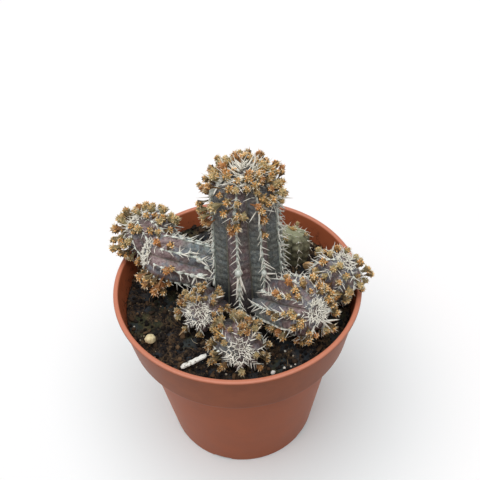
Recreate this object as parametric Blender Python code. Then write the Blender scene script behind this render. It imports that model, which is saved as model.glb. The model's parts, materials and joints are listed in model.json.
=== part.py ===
"""Potted clumping euphorbia.

A plastic nursery pot holds potting soil and one upright ribbed stem with seven offsets round its
foot. Each stem carries a crown of cyathia, the cup-shaped flowers of the genus, in rows along the
tops of its ribs. Metres, +Z up, origin at the middle of the pot's underside.
"""

import math

import bmesh
import bpy
from mathutils import Vector
from mathutils.noise import noise

# --- driving dimensions -------------------------------------------------------------------------

RIM_RADIUS = 0.0525
POT_HEIGHT = 0.0880
WALL = 0.0012
LIP_HEIGHT = 0.0015
LIP_WIDTH = 0.0020
COLLAR_TOP_RADIUS = RIM_RADIUS - 0.0009
COLLAR_BOTTOM_RADIUS = 0.0483
COLLAR_HEIGHT = 0.0232
BODY_TOP_RADIUS = 0.0440
FOOT_RADIUS = 0.0345
FOOT_ROUND = 0.0006
POT_SEGMENTS = 52

FLOOR_UNDERSIDE = 0.0015
FLOOR_TOP = 0.0030
BOSS_RADIUS = 0.0100
FOOT_RING_WIDTH = 0.0045
DRAIN_COUNT = 5
DRAIN_TURN = 251.4
DRAIN_RADIUS = 0.0032
DRAIN_CIRCLE = 0.0210
NOTCH_WIDTH = 0.0100

CLEARANCE = 0.0004
FLOWER_GAP = 0.0005
SOIL_LEVEL = 0.0770
SOIL_MOUND = 0.0030
SOIL_LUMPS = 0.0012
SOIL_SEGMENTS = 40
SOIL_RINGS = 6

RIB_SHAPE = (0.0, 0.45, 1.0, 0.45)
RIB_DEPTH = 0.17
DOME_SHARE = 0.85

# Each stem: name, foot, tip, radius at the foot, radius below the dome, ribs, turn of its first rib
# in degrees, how many cyathia stand in a row on each rib, and their size beside the usual one.
# Places are millimetres.
STEMS = [
    ("main_stem", (5.8, 3.1, 70), (4.2, 4.5, 143), 17.0, 13.4, 9, -17, 8, 1.2),
    ("offset_left_front", (-10.5, 9.0, 87.0), (-37.9, 7.6, 100.5), 9.4, 9.9, 8, 12, 3, 1.0),
    ("offset_left_back", (-26.8, 17.9, 79.0), (-41.6, 24.0, 104.9), 5.0, 11.0, 9, 5, 4, 1.2),
    ("offset_front_left", (-11.0, -3.0, 77.0), (-16.3, -20.5, 91.5), 7.5, 9.0, 8, 10, 3, 1.0),
    ("offset_front", (0.0, -14.0, 73.0), (-0.7, -39.0, 89.0), 7.0, 9.6, 8, 0, 3, 1.0),
    ("offset_right_front", (11.5, -4.0, 81.0), (30.5, -28.5, 98.5), 9.0, 11.6, 9, 9, 3, 1.0),
    ("offset_right", (35.0, -1.5, 78.0), (44.2, -6.4, 102.3), 7.0, 10.0, 8, 20, 3, 1.1),
    ("offset_back_right", (23.8, 21.8, 73.0), (25.6, 25.4, 92.0), 7.5, 9.2, 8, 0, 2, 1.0),
]

# Where a stem's ribs aren't evenly spaced: the turn of each of them, in degrees.
RIB_TURNS = {"main_stem": (-17, 23, 63, 100, 138, 175, 212, 250, 287)}

CYATHIUM_SIDES = 5
CYATHIUM_HEIGHT = 0.0042
CYATHIUM_RADIUS = 0.0022
CYATHIUM_SPACING = 0.0036
CROWN_START = 0.0056
MARGIN_WIDTH = 0.0016
MARGIN_HEIGHT = 0.0010
TUFT_RADIUS = 0.0045
TUFT_HEIGHT = 0.0016

PEBBLE_PLACE = (-0.0366, -0.0229, 0.0801)
PEBBLE_SIZE = (0.0023, 0.0021, 0.0019)
HUSK_PLACE = (0.0323, 0.0104, 0.0832)
HUSK_SIZE = (0.0024, 0.0012, 0.0031)
PERLITE = [
    ((0.0120, -0.0420, 0.0795), (0.0013, 0.0011, 0.0009)),
    ((-0.0260, -0.0120, 0.0806), (0.0011, 0.0012, 0.0009)),
    ((0.0395, 0.0160, 0.0796), (0.0013, 0.0012, 0.0010)),
]
STALK_PATH = [(-23.8, -37.6, 79.6), (-20.2, -36.0, 80.1), (-16.8, -34.5, 80.6), (-13.6, -33.1, 81.1)]
STALK_WIDTH = 0.0021
STALK_THICKNESS = 0.0012


# --- helpers ------------------------------------------------------------------------------------


def clear_scene():
    for obj in list(bpy.data.objects):
        bpy.data.objects.remove(obj, do_unlink=True)


def material(name, colour, roughness):
    made = bpy.data.materials.get(name) or bpy.data.materials.new(name)
    made.use_nodes = True
    shader = made.node_tree.nodes["Principled BSDF"]
    shader.inputs["Base Color"].default_value = (*colour, 1.0)
    shader.inputs["Roughness"].default_value = roughness
    shader.inputs["Metallic"].default_value = 0.0
    return made


def object_from(name, bm, finish, smooth_angle=40):
    """One named object from a bmesh, its faces turned outwards and shaded smooth."""
    bmesh.ops.recalc_face_normals(bm, faces=bm.faces)
    mesh = bpy.data.meshes.new(name)
    bm.to_mesh(mesh)
    bm.free()
    mesh.shade_smooth()
    mesh.set_sharp_from_angle(angle=math.radians(smooth_angle))
    obj = bpy.data.objects.new(name, mesh)
    bpy.context.scene.collection.objects.link(obj)
    if finish:
        mesh.materials.append(finish)
    return obj


def as_cutter(obj):
    obj.hide_render = True
    obj.display_type = "WIRE"
    return obj


def combine(target, tool, operation, self_overlap=False):
    modifier = target.modifiers.new(tool.name, "BOOLEAN")
    modifier.operation = operation
    modifier.solver = "EXACT"
    modifier.use_self = self_overlap
    modifier.object = tool


def ring(bm, centre, across, up, radii, angles=None):
    """A closed loop of vertices, radii[i] away from the centre, evenly spaced unless angles are given."""
    count = len(radii)
    angles = angles or [2 * math.pi * i / count for i in range(count)]
    loop = []
    for angle, radius in zip(angles, radii):
        loop.append(bm.verts.new(centre + radius * (math.cos(angle) * across + math.sin(angle) * up)))
    return loop


def skin(bm, loops):
    """Quads between each loop and the next."""
    for low, high in zip(loops, loops[1:]):
        count = len(low)
        for i in range(count):
            bm.faces.new((low[i], low[(i + 1) % count], high[(i + 1) % count], high[i]))


def fan(bm, loop, point):
    tip = bm.verts.new(point)
    for i in range(len(loop)):
        bm.faces.new((loop[i], loop[(i + 1) % len(loop)], tip))


def lathe(name, profile, segments, finish):
    """A closed solid turned about Z. The profile's first and last points lie on the axis."""
    bm = bmesh.new()
    x, y = Vector((1, 0, 0)), Vector((0, 1, 0))
    loops = [ring(bm, Vector((0, 0, z)), x, y, [r] * segments) for r, z in profile[1:-1]]
    skin(bm, loops)
    fan(bm, loops[0], (0, 0, profile[0][1]))
    fan(bm, loops[-1], (0, 0, profile[-1][1]))
    return object_from(name, bm, finish)


# --- pot ----------------------------------------------------------------------------------------


def collar_radius(z):
    """Outer radius of the collar at a height between its lower edge and the lip."""
    low, high = POT_HEIGHT - COLLAR_HEIGHT, POT_HEIGHT - LIP_HEIGHT
    share = (z - low) / (high - low)
    return COLLAR_BOTTOM_RADIUS + share * (COLLAR_TOP_RADIUS - COLLAR_BOTTOM_RADIUS)


def body_radius(z):
    """Outer radius of the tapered body under the collar."""
    share = z / (POT_HEIGHT - COLLAR_HEIGHT)
    return FOOT_RADIUS + share * (BODY_TOP_RADIUS - FOOT_RADIUS)


def pot_profile():
    step = POT_HEIGHT - COLLAR_HEIGHT
    lip = POT_HEIGHT - LIP_HEIGHT
    ring_inner = FOOT_RADIUS - FOOT_RING_WIDTH
    inner_lip = RIM_RADIUS - LIP_WIDTH
    return [
        (0, 0),
        (BOSS_RADIUS, 0),
        (BOSS_RADIUS + 0.0008, FLOOR_UNDERSIDE),
        (ring_inner - 0.0008, FLOOR_UNDERSIDE),
        (ring_inner, 0),
        (FOOT_RADIUS - FOOT_ROUND, 0),
        (body_radius(FOOT_ROUND), FOOT_ROUND),
        (body_radius(FLOOR_TOP), FLOOR_TOP),
        (body_radius(step - 0.0006), step - 0.0006),
        (COLLAR_BOTTOM_RADIUS - 0.0008, step),
        (COLLAR_BOTTOM_RADIUS, step + 0.0008),
        (COLLAR_TOP_RADIUS, lip),
        (RIM_RADIUS, lip),
        (RIM_RADIUS, POT_HEIGHT - 0.0005),
        (RIM_RADIUS - 0.0005, POT_HEIGHT),
        (inner_lip + 0.0004, POT_HEIGHT),
        (inner_lip, POT_HEIGHT - 0.0006),
        (collar_radius(step + 0.004) - WALL, step + 0.004),
        (body_radius(step) - WALL, step - WALL),
        (body_radius(FLOOR_TOP + 0.0012) - WALL, FLOOR_TOP + 0.0012),
        (body_radius(FLOOR_TOP) - WALL - 0.0012, FLOOR_TOP),
        (0, FLOOR_TOP),
    ]


def drain_cutter():
    """Round drain holes through the floor, and a notch across the foot ring beside each of them."""
    bm = bmesh.new()
    x, y = Vector((1, 0, 0)), Vector((0, 1, 0))
    for k in range(DRAIN_COUNT):
        angle = math.radians(DRAIN_TURN) + 2 * math.pi * k / DRAIN_COUNT
        out = Vector((math.cos(angle), math.sin(angle), 0))
        side = Vector((-out.y, out.x, 0))
        heights = (FLOOR_UNDERSIDE - 0.002, FLOOR_TOP + 0.002)
        loops = [ring(bm, DRAIN_CIRCLE * out + Vector((0, 0, z)), x, y, [DRAIN_RADIUS] * 10) for z in heights]
        skin(bm, loops)
        for loop in loops:
            bm.faces.new(loop)
        near, far = FOOT_RADIUS - FOOT_RING_WIDTH - 0.002, FOOT_RADIUS + 0.003
        corners = []
        for z in (-0.002, FLOOR_UNDERSIDE - 0.0001):
            half = NOTCH_WIDTH / 2 - max(z, 0) * 0.6
            square = [(near, -half), (far, -half), (far, half), (near, half)]
            corners.append([bm.verts.new(a * out + b * side + Vector((0, 0, z))) for a, b in square])
        skin(bm, corners)
        for loop in corners:
            bm.faces.new(loop)
    return as_cutter(object_from("drain_cutter", bm, None))


def pot():
    finish = material("terracotta_plastic", (0.44, 0.118, 0.050), 0.45)
    made = lathe("pot", pot_profile(), POT_SEGMENTS, finish)
    combine(made, drain_cutter(), "DIFFERENCE")
    return made


# --- stems --------------------------------------------------------------------------------------


class Stem:
    """The straight axis of one stem and the ribbed surface round it."""

    def __init__(self, name, foot, tip, foot_radius, radius, ribs, turn, row, bloom):
        self.name = name
        self.foot = Vector(foot) / 1000
        self.tip = Vector(tip) / 1000
        self.foot_radius = foot_radius / 1000
        self.radius = radius / 1000
        self.ribs = ribs
        self.turn = math.radians(turn)
        turns = RIB_TURNS.get(name) or [turn + 360 * k / ribs for k in range(ribs)]
        self.crests = [math.radians(angle) for angle in turns]
        self.row = row
        self.bloom = bloom
        self.length = (self.tip - self.foot).length
        self.along = (self.tip - self.foot).normalized()
        toward = Vector((0, -1, 0)) if abs(self.along.z) > 0.98 else Vector((0, 0, -1))
        self.across = (toward - toward.dot(self.along) * self.along).normalized()
        self.up = self.along.cross(self.across)
        self.dome = DOME_SHARE * self.radius

    def crest(self, depth):
        """Radius of the rib crests at a depth below the tip."""
        if depth < self.dome:
            return self.radius * math.sqrt(max(0.0, 1 - (1 - depth / self.dome) ** 2))
        share = (depth - self.dome) / (self.length - self.dome)
        return self.radius + (self.foot_radius - self.radius) * share**1.6

    def direction(self, angle):
        return math.cos(angle) * self.across + math.sin(angle) * self.up

    def point(self, depth, angle):
        return self.tip - depth * self.along + self.crest(depth) * self.direction(angle)

    def normal(self, depth, angle):
        """Outward direction from a rib's crest."""
        down = self.point(depth + 0.0003, angle) - self.point(max(depth - 0.0003, 0.0), angle)
        return down.cross(self.direction(angle + math.pi / 2)).normalized()

    def mesh(self, grow=0.0):
        """The ribbed solid, or with grow its clearance shape: larger all round."""
        bm = bmesh.new()
        dome_depths = [self.dome * (1 - math.cos(a)) for a in (0.32, 0.62, 0.95, 1.28, math.pi / 2)]
        body = self.length - self.dome
        depths = dome_depths + [self.dome + body * s for s in (0.34, 0.67, 1.0)]
        steps = len(RIB_SHAPE)
        angles = []
        for low, high in zip(self.crests, self.crests[1:] + [self.crests[0] + 2 * math.pi]):
            angles += [low + (high - low) * step / steps for step in range(steps)]
        loops = []
        for depth in depths:
            crest = self.crest(depth)
            fade = min(1.0, depth / self.dome)
            radii = [crest * (1 - RIB_DEPTH * fade * fall) + grow for fall in RIB_SHAPE * self.ribs]
            extra = grow if depth == depths[-1] else 0.0
            centre = self.tip - (depth + extra) * self.along
            loops.append(ring(bm, centre, self.across, self.up, radii, angles))
        skin(bm, loops)
        fan(bm, loops[0], self.tip + grow * self.along)
        bm.faces.new(loops[-1])
        return bm

    def distance(self, point):
        """How far a point is from this stem's surface, about; negative inside."""
        depth = min(max((self.tip - point).dot(self.along), self.dome), self.length)
        return (point - (self.tip - depth * self.along)).length - self.crest(depth)


def stems(specs, finish):
    """The stems, each trimmed where it meets an earlier one, and their clearance shapes."""
    made, cutters = [], []
    for spec in specs:
        obj = object_from(spec.name, spec.mesh(), finish)
        for earlier, cutter in cutters:
            reach = spec.radius + earlier.radius + 0.001
            if closest(spec, earlier) < reach:
                combine(obj, cutter, "DIFFERENCE")
        clearance = object_from(spec.name + "_clearance", spec.mesh(CLEARANCE), None)
        cutters.append((spec, as_cutter(clearance)))
        made.append(obj)
    return made, cutters


def closest(one, other):
    """Smallest distance between points on two stems' axes."""
    marks = [i / 12 for i in range(13)]
    a = [one.foot.lerp(one.tip, s) for s in marks]
    b = [other.foot.lerp(other.tip, s) for s in marks]
    return min((p - q).length for p in a for q in b)


# --- flowers ------------------------------------------------------------------------------------


def arc_depths(stem, arcs):
    """Depths below the tip of the points at these distances along a rib, measured over the dome."""
    depths, walked, depth = [], 0.0, 0.0
    last = stem.point(0.0, 0.0)
    while len(depths) < len(arcs):
        depth += 0.00005
        here = stem.point(depth, 0.0)
        walked += (here - last).length
        last = here
        if walked >= arcs[len(depths)]:
            depths.append(depth)
    return depths


def cyathium(bm, foot, normal, bloom):
    """A five-sided bud that widens from its stalk and closes to a point."""
    across = normal.orthogonal().normalized()
    up = normal.cross(across)
    high, wide = CYATHIUM_HEIGHT * bloom, CYATHIUM_RADIUS * bloom
    sizes = [(0.0, 0.5), (0.62, 1.0)]
    loops = []
    for height, width in sizes:
        centre = foot + normal * high * height
        loops.append(ring(bm, centre, across, up, [wide * width] * CYATHIUM_SIDES))
    skin(bm, loops)
    bm.faces.new(loops[0])
    fan(bm, loops[-1], foot + normal * high)


def margin(bm, stem, angle, depths):
    """The horny strip along a rib's crest that the cyathia and spines stand on."""
    side = stem.direction(angle + math.pi / 2)
    loops = []
    for depth in depths:
        normal = stem.normal(depth, angle)
        low = stem.point(depth, angle) + normal * FLOWER_GAP
        high = low + normal * MARGIN_HEIGHT
        wide, narrow = side * MARGIN_WIDTH / 2, side * MARGIN_WIDTH / 4
        corners = (low - wide, low + wide, high + narrow, high - narrow)
        loops.append([bm.verts.new(corner) for corner in corners])
    skin(bm, loops)
    bm.faces.new(loops[0])
    bm.faces.new(loops[-1])


def tuft(bm, stem):
    """The low cap of young spines over the growing tip; the strips start from it."""
    depths = arc_depths(stem, [TUFT_RADIUS * share for share in (0.45, 0.8, 1.0)])
    turned = stem.direction(stem.turn), stem.direction(stem.turn + math.pi / 2)
    loops = []
    low = FLOWER_GAP + 0.0002
    for lift, order in ((low + TUFT_HEIGHT, depths), (low, depths[::-1])):
        for depth in order:
            normal = stem.normal(depth, 0.0)
            flat = normal.dot(stem.along)
            centre = stem.tip - depth * stem.along + lift * flat * stem.along
            radius = stem.crest(depth) + lift * math.sqrt(1 - flat**2)
            loops.append(ring(bm, centre, *turned, [radius] * stem.ribs * 2))
    skin(bm, loops)
    fan(bm, loops[0], stem.tip + (low + TUFT_HEIGHT) * stem.along)
    fan(bm, loops[-1], stem.tip + low * stem.along)


def flowers(stem, others, finish):
    """One stem's tuft, rib strips and cyathia, joined into one piece."""
    strips, cups, cap = bmesh.new(), bmesh.new(), bmesh.new()
    tuft(cap, stem)
    arcs = [CROWN_START + i * CYATHIUM_SPACING for i in range(stem.row)]
    depths = arc_depths(stem, [TUFT_RADIUS * 0.8] + arcs)
    for angle in stem.crests:
        reached = depths[:1]
        for depth in depths[1:]:
            normal = stem.normal(depth, angle)
            foot = stem.point(depth, angle) + normal * (FLOWER_GAP + 0.0003)
            head = foot + normal * CYATHIUM_HEIGHT * stem.bloom * 0.6
            if not stands_clear(head, stem.bloom, others):
                break
            cyathium(cups, foot, normal, stem.bloom)
            reached.append(depth)
        if len(reached) > 1:
            margin(strips, stem, angle, reached)
    made = object_from(stem.name + "_flowers", cap, finish)
    combine(made, as_cutter(object_from(stem.name + "_strips", strips, None)), "UNION", True)
    combine(made, as_cutter(object_from(stem.name + "_cups", cups, None)), "UNION", True)
    return made


def stands_clear(head, bloom, others):
    """True if a flower's head misses the other stems, their flowers, the soil and the pot."""
    half = CYATHIUM_RADIUS * bloom + CLEARANCE
    if any(other.distance(head) < half + CYATHIUM_HEIGHT for other in others):
        return False
    across = math.hypot(head.x, head.y)
    if head.z < SOIL_LEVEL + SOIL_MOUND + half:
        return False
    return head.z > POT_HEIGHT + half or across < RIM_RADIUS - LIP_WIDTH - half


# --- soil ---------------------------------------------------------------------------------------


def soil_height(x, y):
    """Height of the soil's top: a low mound with lumps."""
    share = min(1.0, math.hypot(x, y) / COLLAR_BOTTOM_RADIUS)
    lumps = noise(Vector((x * 90, y * 90, 3.7))) + 0.5 * noise(Vector((x * 210, y * 210, 8.1)))
    return SOIL_LEVEL + SOIL_MOUND * (1 - share**2) + SOIL_LUMPS * lumps


def soil(cutters):
    """The potting soil: it fills the pot to below the lip and is hollowed where the stems stand."""
    bm = bmesh.new()
    x, y = Vector((1, 0, 0)), Vector((0, 1, 0))
    step = POT_HEIGHT - COLLAR_HEIGHT
    gap = WALL + CLEARANCE
    sides = [
        (body_radius(FLOOR_TOP) - gap - 0.0016, FLOOR_TOP + CLEARANCE),
        (body_radius(FLOOR_TOP + 0.0016) - gap, FLOOR_TOP + 0.0016 + CLEARANCE),
        (body_radius(step - 0.001) - gap, step - WALL),
        (collar_radius(step + 0.004) - gap, step + 0.0042),
    ]
    loops = [ring(bm, Vector((0, 0, z)), x, y, [r] * SOIL_SEGMENTS) for r, z in sides]
    rim = collar_radius(SOIL_LEVEL - SOIL_LUMPS) - gap
    for k in range(SOIL_RINGS):
        radius = rim * (1 - k / SOIL_RINGS)
        loop = ring(bm, Vector((0, 0, 0)), x, y, [radius] * SOIL_SEGMENTS)
        for vertex in loop:
            vertex.co.z = soil_height(vertex.co.x, vertex.co.y)
        loops.append(loop)
    skin(bm, loops)
    bm.faces.new(loops[0])
    fan(bm, loops[-1], (0, 0, soil_height(0, 0)))
    made = object_from("soil", bm, material("peat", (0.030, 0.022, 0.017), 0.95))
    hollows = bmesh.new()
    for _, cutter in cutters:
        hollows.from_mesh(cutter.data)
    combine(made, as_cutter(object_from("stem_hollows", hollows, None)), "DIFFERENCE", True)
    return made


# --- things lying on the soil -------------------------------------------------------------------


def lump(name, place, size, turn, finish):
    """A small rounded body, its surface a little uneven."""
    bm = bmesh.new()
    bmesh.ops.create_icosphere(bm, subdivisions=2, radius=1.0)
    for vertex in bm.verts:
        uneven = 1 + 0.12 * noise(vertex.co * 1.7 + Vector(place) * 100)
        across, deep, tall = size
        vertex.co = Vector((vertex.co.x * across, vertex.co.y * deep, vertex.co.z * tall)) * uneven
    made = object_from(name, bm, finish, smooth_angle=180)
    made.location = place
    made.rotation_euler = turn
    return made


def stick(finish):
    """The dry, flattened length of old stalk at the front left, bent upwards at its inner end."""
    bm = bmesh.new()
    path = [Vector(point) / 1000 for point in STALK_PATH]
    loops = []
    for i, place in enumerate(path):
        ahead = (path[min(i + 1, len(path) - 1)] - path[max(i - 1, 0)]).normalized()
        side = ahead.cross(Vector((0, 0, 1))).normalized()
        rise = side.cross(ahead)
        thin = 0.75 if i in (0, len(path) - 1) else 1.0
        wide, high = side * STALK_WIDTH / 2 * thin, rise * STALK_THICKNESS / 2 * thin
        loops.append(ring(bm, place, wide, high, [1.0] * 8))
    skin(bm, loops)
    bm.faces.new(loops[0])
    bm.faces.new(loops[-1])
    return object_from("dry_stalk", bm, finish)


def debris():
    """A pebble, a length of dry stalk, a dry husk and grains of perlite."""
    grit = material("pale_grit", (0.62, 0.52, 0.33), 0.9)
    stalk = material("dry_stalk", (0.66, 0.64, 0.56), 0.85)
    husk = material("dry_husk", (0.25, 0.11, 0.05), 0.8)
    lump("pebble", PEBBLE_PLACE, PEBBLE_SIZE, (0.2, 0.1, 0.5), grit)
    stick(stalk)
    lump("dry_husk", HUSK_PLACE, HUSK_SIZE, (0.35, 0.0, -0.3), husk)
    perlite = material("perlite", (0.72, 0.70, 0.66), 0.95)
    for number, (place, size) in enumerate(PERLITE, start=1):
        lump(f"perlite_{number}", place, size, (0.3 * number, 0.2, 0.7 * number), perlite)


# --- assembly -----------------------------------------------------------------------------------


def build():
    clear_scene()
    specs = [Stem(*row) for row in STEMS]
    skin_finish = material("stem_skin", (0.115, 0.095, 0.098), 0.6)
    flower_finish = material("cyathia", (0.42, 0.21, 0.07), 0.8)
    pot()
    made, cutters = stems(specs, skin_finish)
    soil(cutters)
    for spec in specs:
        flowers(spec, [other for other in specs if other is not spec], flower_finish)
    debris()


build()
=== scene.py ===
"""Potted clumping euphorbia: the finished look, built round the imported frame.

Metres, +Z up, origin at the middle of the pot's underside. Each operator makes one piece or one
group of like pieces and settles it on the single body.
"""

import json
import math
from typing import NamedTuple

import bmesh
import bpy
import numpy as np
from bpy.props import FloatProperty, FloatVectorProperty, IntProperty, PointerProperty
from mathutils import Euler, Matrix, Vector
from mathutils.noise import noise

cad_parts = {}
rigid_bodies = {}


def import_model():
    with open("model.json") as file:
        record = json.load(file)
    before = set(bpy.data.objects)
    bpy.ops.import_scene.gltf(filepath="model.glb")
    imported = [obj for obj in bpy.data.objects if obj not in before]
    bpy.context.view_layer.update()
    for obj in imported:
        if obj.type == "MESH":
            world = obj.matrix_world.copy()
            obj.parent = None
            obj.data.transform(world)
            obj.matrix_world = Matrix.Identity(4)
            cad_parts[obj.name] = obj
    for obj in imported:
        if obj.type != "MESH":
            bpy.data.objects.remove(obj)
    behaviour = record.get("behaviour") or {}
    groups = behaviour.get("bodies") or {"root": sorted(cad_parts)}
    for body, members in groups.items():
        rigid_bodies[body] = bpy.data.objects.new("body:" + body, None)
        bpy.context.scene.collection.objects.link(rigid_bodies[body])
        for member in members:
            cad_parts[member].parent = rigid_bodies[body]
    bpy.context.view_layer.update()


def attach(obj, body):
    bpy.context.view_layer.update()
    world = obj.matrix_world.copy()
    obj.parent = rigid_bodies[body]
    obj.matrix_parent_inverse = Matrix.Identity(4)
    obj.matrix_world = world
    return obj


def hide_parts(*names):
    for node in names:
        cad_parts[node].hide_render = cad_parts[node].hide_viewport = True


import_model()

bl_info = {
    "name": "Potted Euphorbia",
    "version": (1, 0, 0),
    "blender": (4, 5, 0),
    "location": "3D View > Sidebar > Euphorbia",
    "description": "Builds a clumping euphorbia in a nursery pot round its packed frame",
    "category": "Object",
}

MM = 0.001
BODY = "root"
MAIN = "main_stem"

# --- sizes shared with the solids ----------------------------------------------------------------

RIM_RADIUS = 0.0525
POT_HEIGHT = 0.0880
WALL = 0.0012
LIP_HEIGHT = 0.0015
LIP_WIDTH = 0.0020
COLLAR_TOP_RADIUS = RIM_RADIUS - 0.0009
COLLAR_BOTTOM_RADIUS = 0.0483
COLLAR_HEIGHT = 0.0232
BODY_TOP_RADIUS = 0.0440
FOOT_RADIUS = 0.0345
FLOOR_UNDERSIDE = 0.0015
FLOOR_TOP = 0.0030
BOSS_RADIUS = 0.0100
FOOT_RING_WIDTH = 0.0045
DRAIN_COUNT = 5
DRAIN_TURN = 251.4
DRAIN_RADIUS = 0.0032
DRAIN_CIRCLE = 0.0210
NOTCH_WIDTH = 0.0100
CLEARANCE = 0.0004
SOIL_LEVEL = 0.0770
SOIL_MOUND = 0.0030
SOIL_LUMPS = 0.0012
DOME_SHARE = 0.85
PEBBLE_PLACE = (-0.0366, -0.0229, 0.0801)
PEBBLE_SIZE = (0.0023, 0.0021, 0.0019)
HUSK_PLACE = (0.0323, 0.0104, 0.0832)
STALK_WIDTH = 0.0021
STALK_THICKNESS = 0.0012
STALK_PATH = ((-23.8, -37.6, 79.6), (-20.2, -36.0, 80.1), (-16.8, -34.5, 80.6), (-13.6, -33.1, 81.1))

# Each stem: name, foot, tip, radius at the foot, radius below the dome, ribs, turn of its first rib
# in degrees. Places and radii are millimetres.
STEMS = [
    ("main_stem", (5.8, 3.1, 70), (4.2, 4.5, 143), 17.0, 13.4, 9, -17),
    ("offset_left_front", (-10.5, 9.0, 87.0), (-37.9, 7.6, 100.5), 9.4, 9.9, 8, 12),
    ("offset_left_back", (-26.8, 17.9, 79.0), (-41.6, 24.0, 104.9), 5.0, 11.0, 9, 5),
    ("offset_front_left", (-11.0, -3.0, 77.0), (-16.3, -20.5, 91.5), 7.5, 9.0, 8, 10),
    ("offset_front", (0.0, -14.0, 73.0), (-0.7, -39.0, 89.0), 7.0, 9.6, 8, 0),
    ("offset_right_front", (11.5, -4.0, 81.0), (30.5, -28.5, 98.5), 9.0, 11.6, 9, 9),
    ("offset_right", (35.0, -1.5, 78.0), (44.2, -6.4, 102.3), 7.0, 10.0, 8, 20),
    ("offset_back_right", (23.8, 21.8, 73.0), (25.6, 25.4, 92.0), 7.5, 9.2, 8, 0),
]

# --- sizes of the finished look ------------------------------------------------------------------

# The loose pieces: turns in radians, half-sizes in metres, and where each crumb of perlite lies.
PEBBLE_TURN = (0.2, 0.1, 0.5)
HUSK_SIZE = (0.0031, 0.0016, 0.0037)
HUSK_TURN = (0.35, 0.0, -0.3)
PERLITE = [
    ((0.0122, -0.0418, 0.0790), (0.0010, 0.0008, 0.0008)),
    ((-0.0260, -0.0120, 0.0806), (0.0011, 0.0012, 0.0009)),
    ((0.0395, 0.0160, 0.0796), (0.0013, 0.0012, 0.0010)),
]

# A low heap of soil at the back left: its height, its middle and how wide it spreads.
SOIL_HEAP = 0.0030
SOIL_HEAP_AT = (-0.025, 0.042)
SOIL_HEAP_SPREAD = 0.014

# How far from the pot's middle the litter lies.
LITTER_RADIUS = 0.0488

# The larger white crumbs in the soil: x, y and size in millimetres.
FLECKS = (
    (16.9, -39.1, 1.4), (19.6, -38.3, 0.9), (21.4, -37.4, 0.8), (17.8, -31.4, 1.1), (-44.2, -13.5, 0.8),
)

# The radius of a full-grown stem. A thinner one has smaller, closer spines.
GROWN_RADIUS = 0.0134

# Columns of the mesh from one rib to the next, the step between its rows, and how far the shields of
# one rib are staggered from those of the next, as a share of their step.
RIB_COLUMNS = 16
ROW_STEP = 0.00045
RIB_STAGGER = 0.382

# How far a cyathium may stray from its place in the row, and how far each of a pair moves off the
# crest besides what its size asks for. Both are millimetres.
STRAY = 0.9
PAIR_GAP = 0.9

# Where a stem's ribs aren't evenly spaced: the turn of each of them, in degrees.
RIB_TURNS = {
    "main_stem": (-17, 23, 63, 100, 138, 175, 212, 250, 287),
    "offset_right_front": (15, 61, 113, 149, 179, 217, 251, 287, 329),
}

# The rows of cyathia, one for each rib from the first: where a row starts and ends, in millimetres
# over the surface from the tip, and how many files it has. (0, 0, 0) is a bare rib.
ROWS = {
    "main_stem": (
        (6.5, 27, 1.6), (6, 26, 1.4), (5.5, 18, 2), (5.5, 16, 2), (5.5, 15, 2), (5.5, 15, 2),
        (5.5, 16, 2), (5.5, 18, 2), (6, 28, 1.7),
    ),
    "offset_left_front": (
        (10, 18, 1.5), (10, 20, 1.5), (0, 0, 0), (0, 0, 0), (9, 10, 1), (0, 0, 0), (8, 12, 1),
        (8, 16, 1.6),
    ),
    "offset_left_back": (
        (7, 16, 1.5), (10, 20, 1.4), (9, 11, 1), (0, 0, 0), (0, 0, 0), (14, 19, 1), (5, 14, 1.2),
        (5, 14, 1.4), (5, 14, 1.5),
    ),
    "offset_front_left": (
        (7.5, 11, 1), (6.5, 14, 1.2), (5.5, 18, 1.6), (5.5, 16, 1.5), (5, 16, 1.7), (5.5, 16, 1.6),
        (6.5, 13, 1.4), (8.5, 12, 1),
    ),
    "offset_front": (
        (0, 0, 0), (0, 0, 0), (12, 16, 1), (15, 16, 1), (15, 23, 2), (12, 19, 1.6), (13, 16, 1.5),
        (13, 15, 1),
    ),
    "offset_right_front": (
        (9.5, 13, 1.8), (8, 12, 1.4), (5.5, 10, 1.3), (0, 0, 0), (0, 0, 0), (0, 0, 0), (0, 0, 0),
        (19, 31, 1.1), (9, 18, 1.4),
    ),
    "offset_right": (
        (14, 16, 1), (14, 18, 1), (15, 20, 1), (14, 18, 1), (0, 0, 0), (12, 14, 1), (13, 18, 1),
        (15, 17, 1),
    ),
    "offset_back_right": (
        (5, 8, 1), (0, 0, 0), (6, 7, 1), (0, 0, 0), (5, 8, 1), (0, 0, 0), (5, 8, 1), (0, 0, 0),
    ),
}

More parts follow.
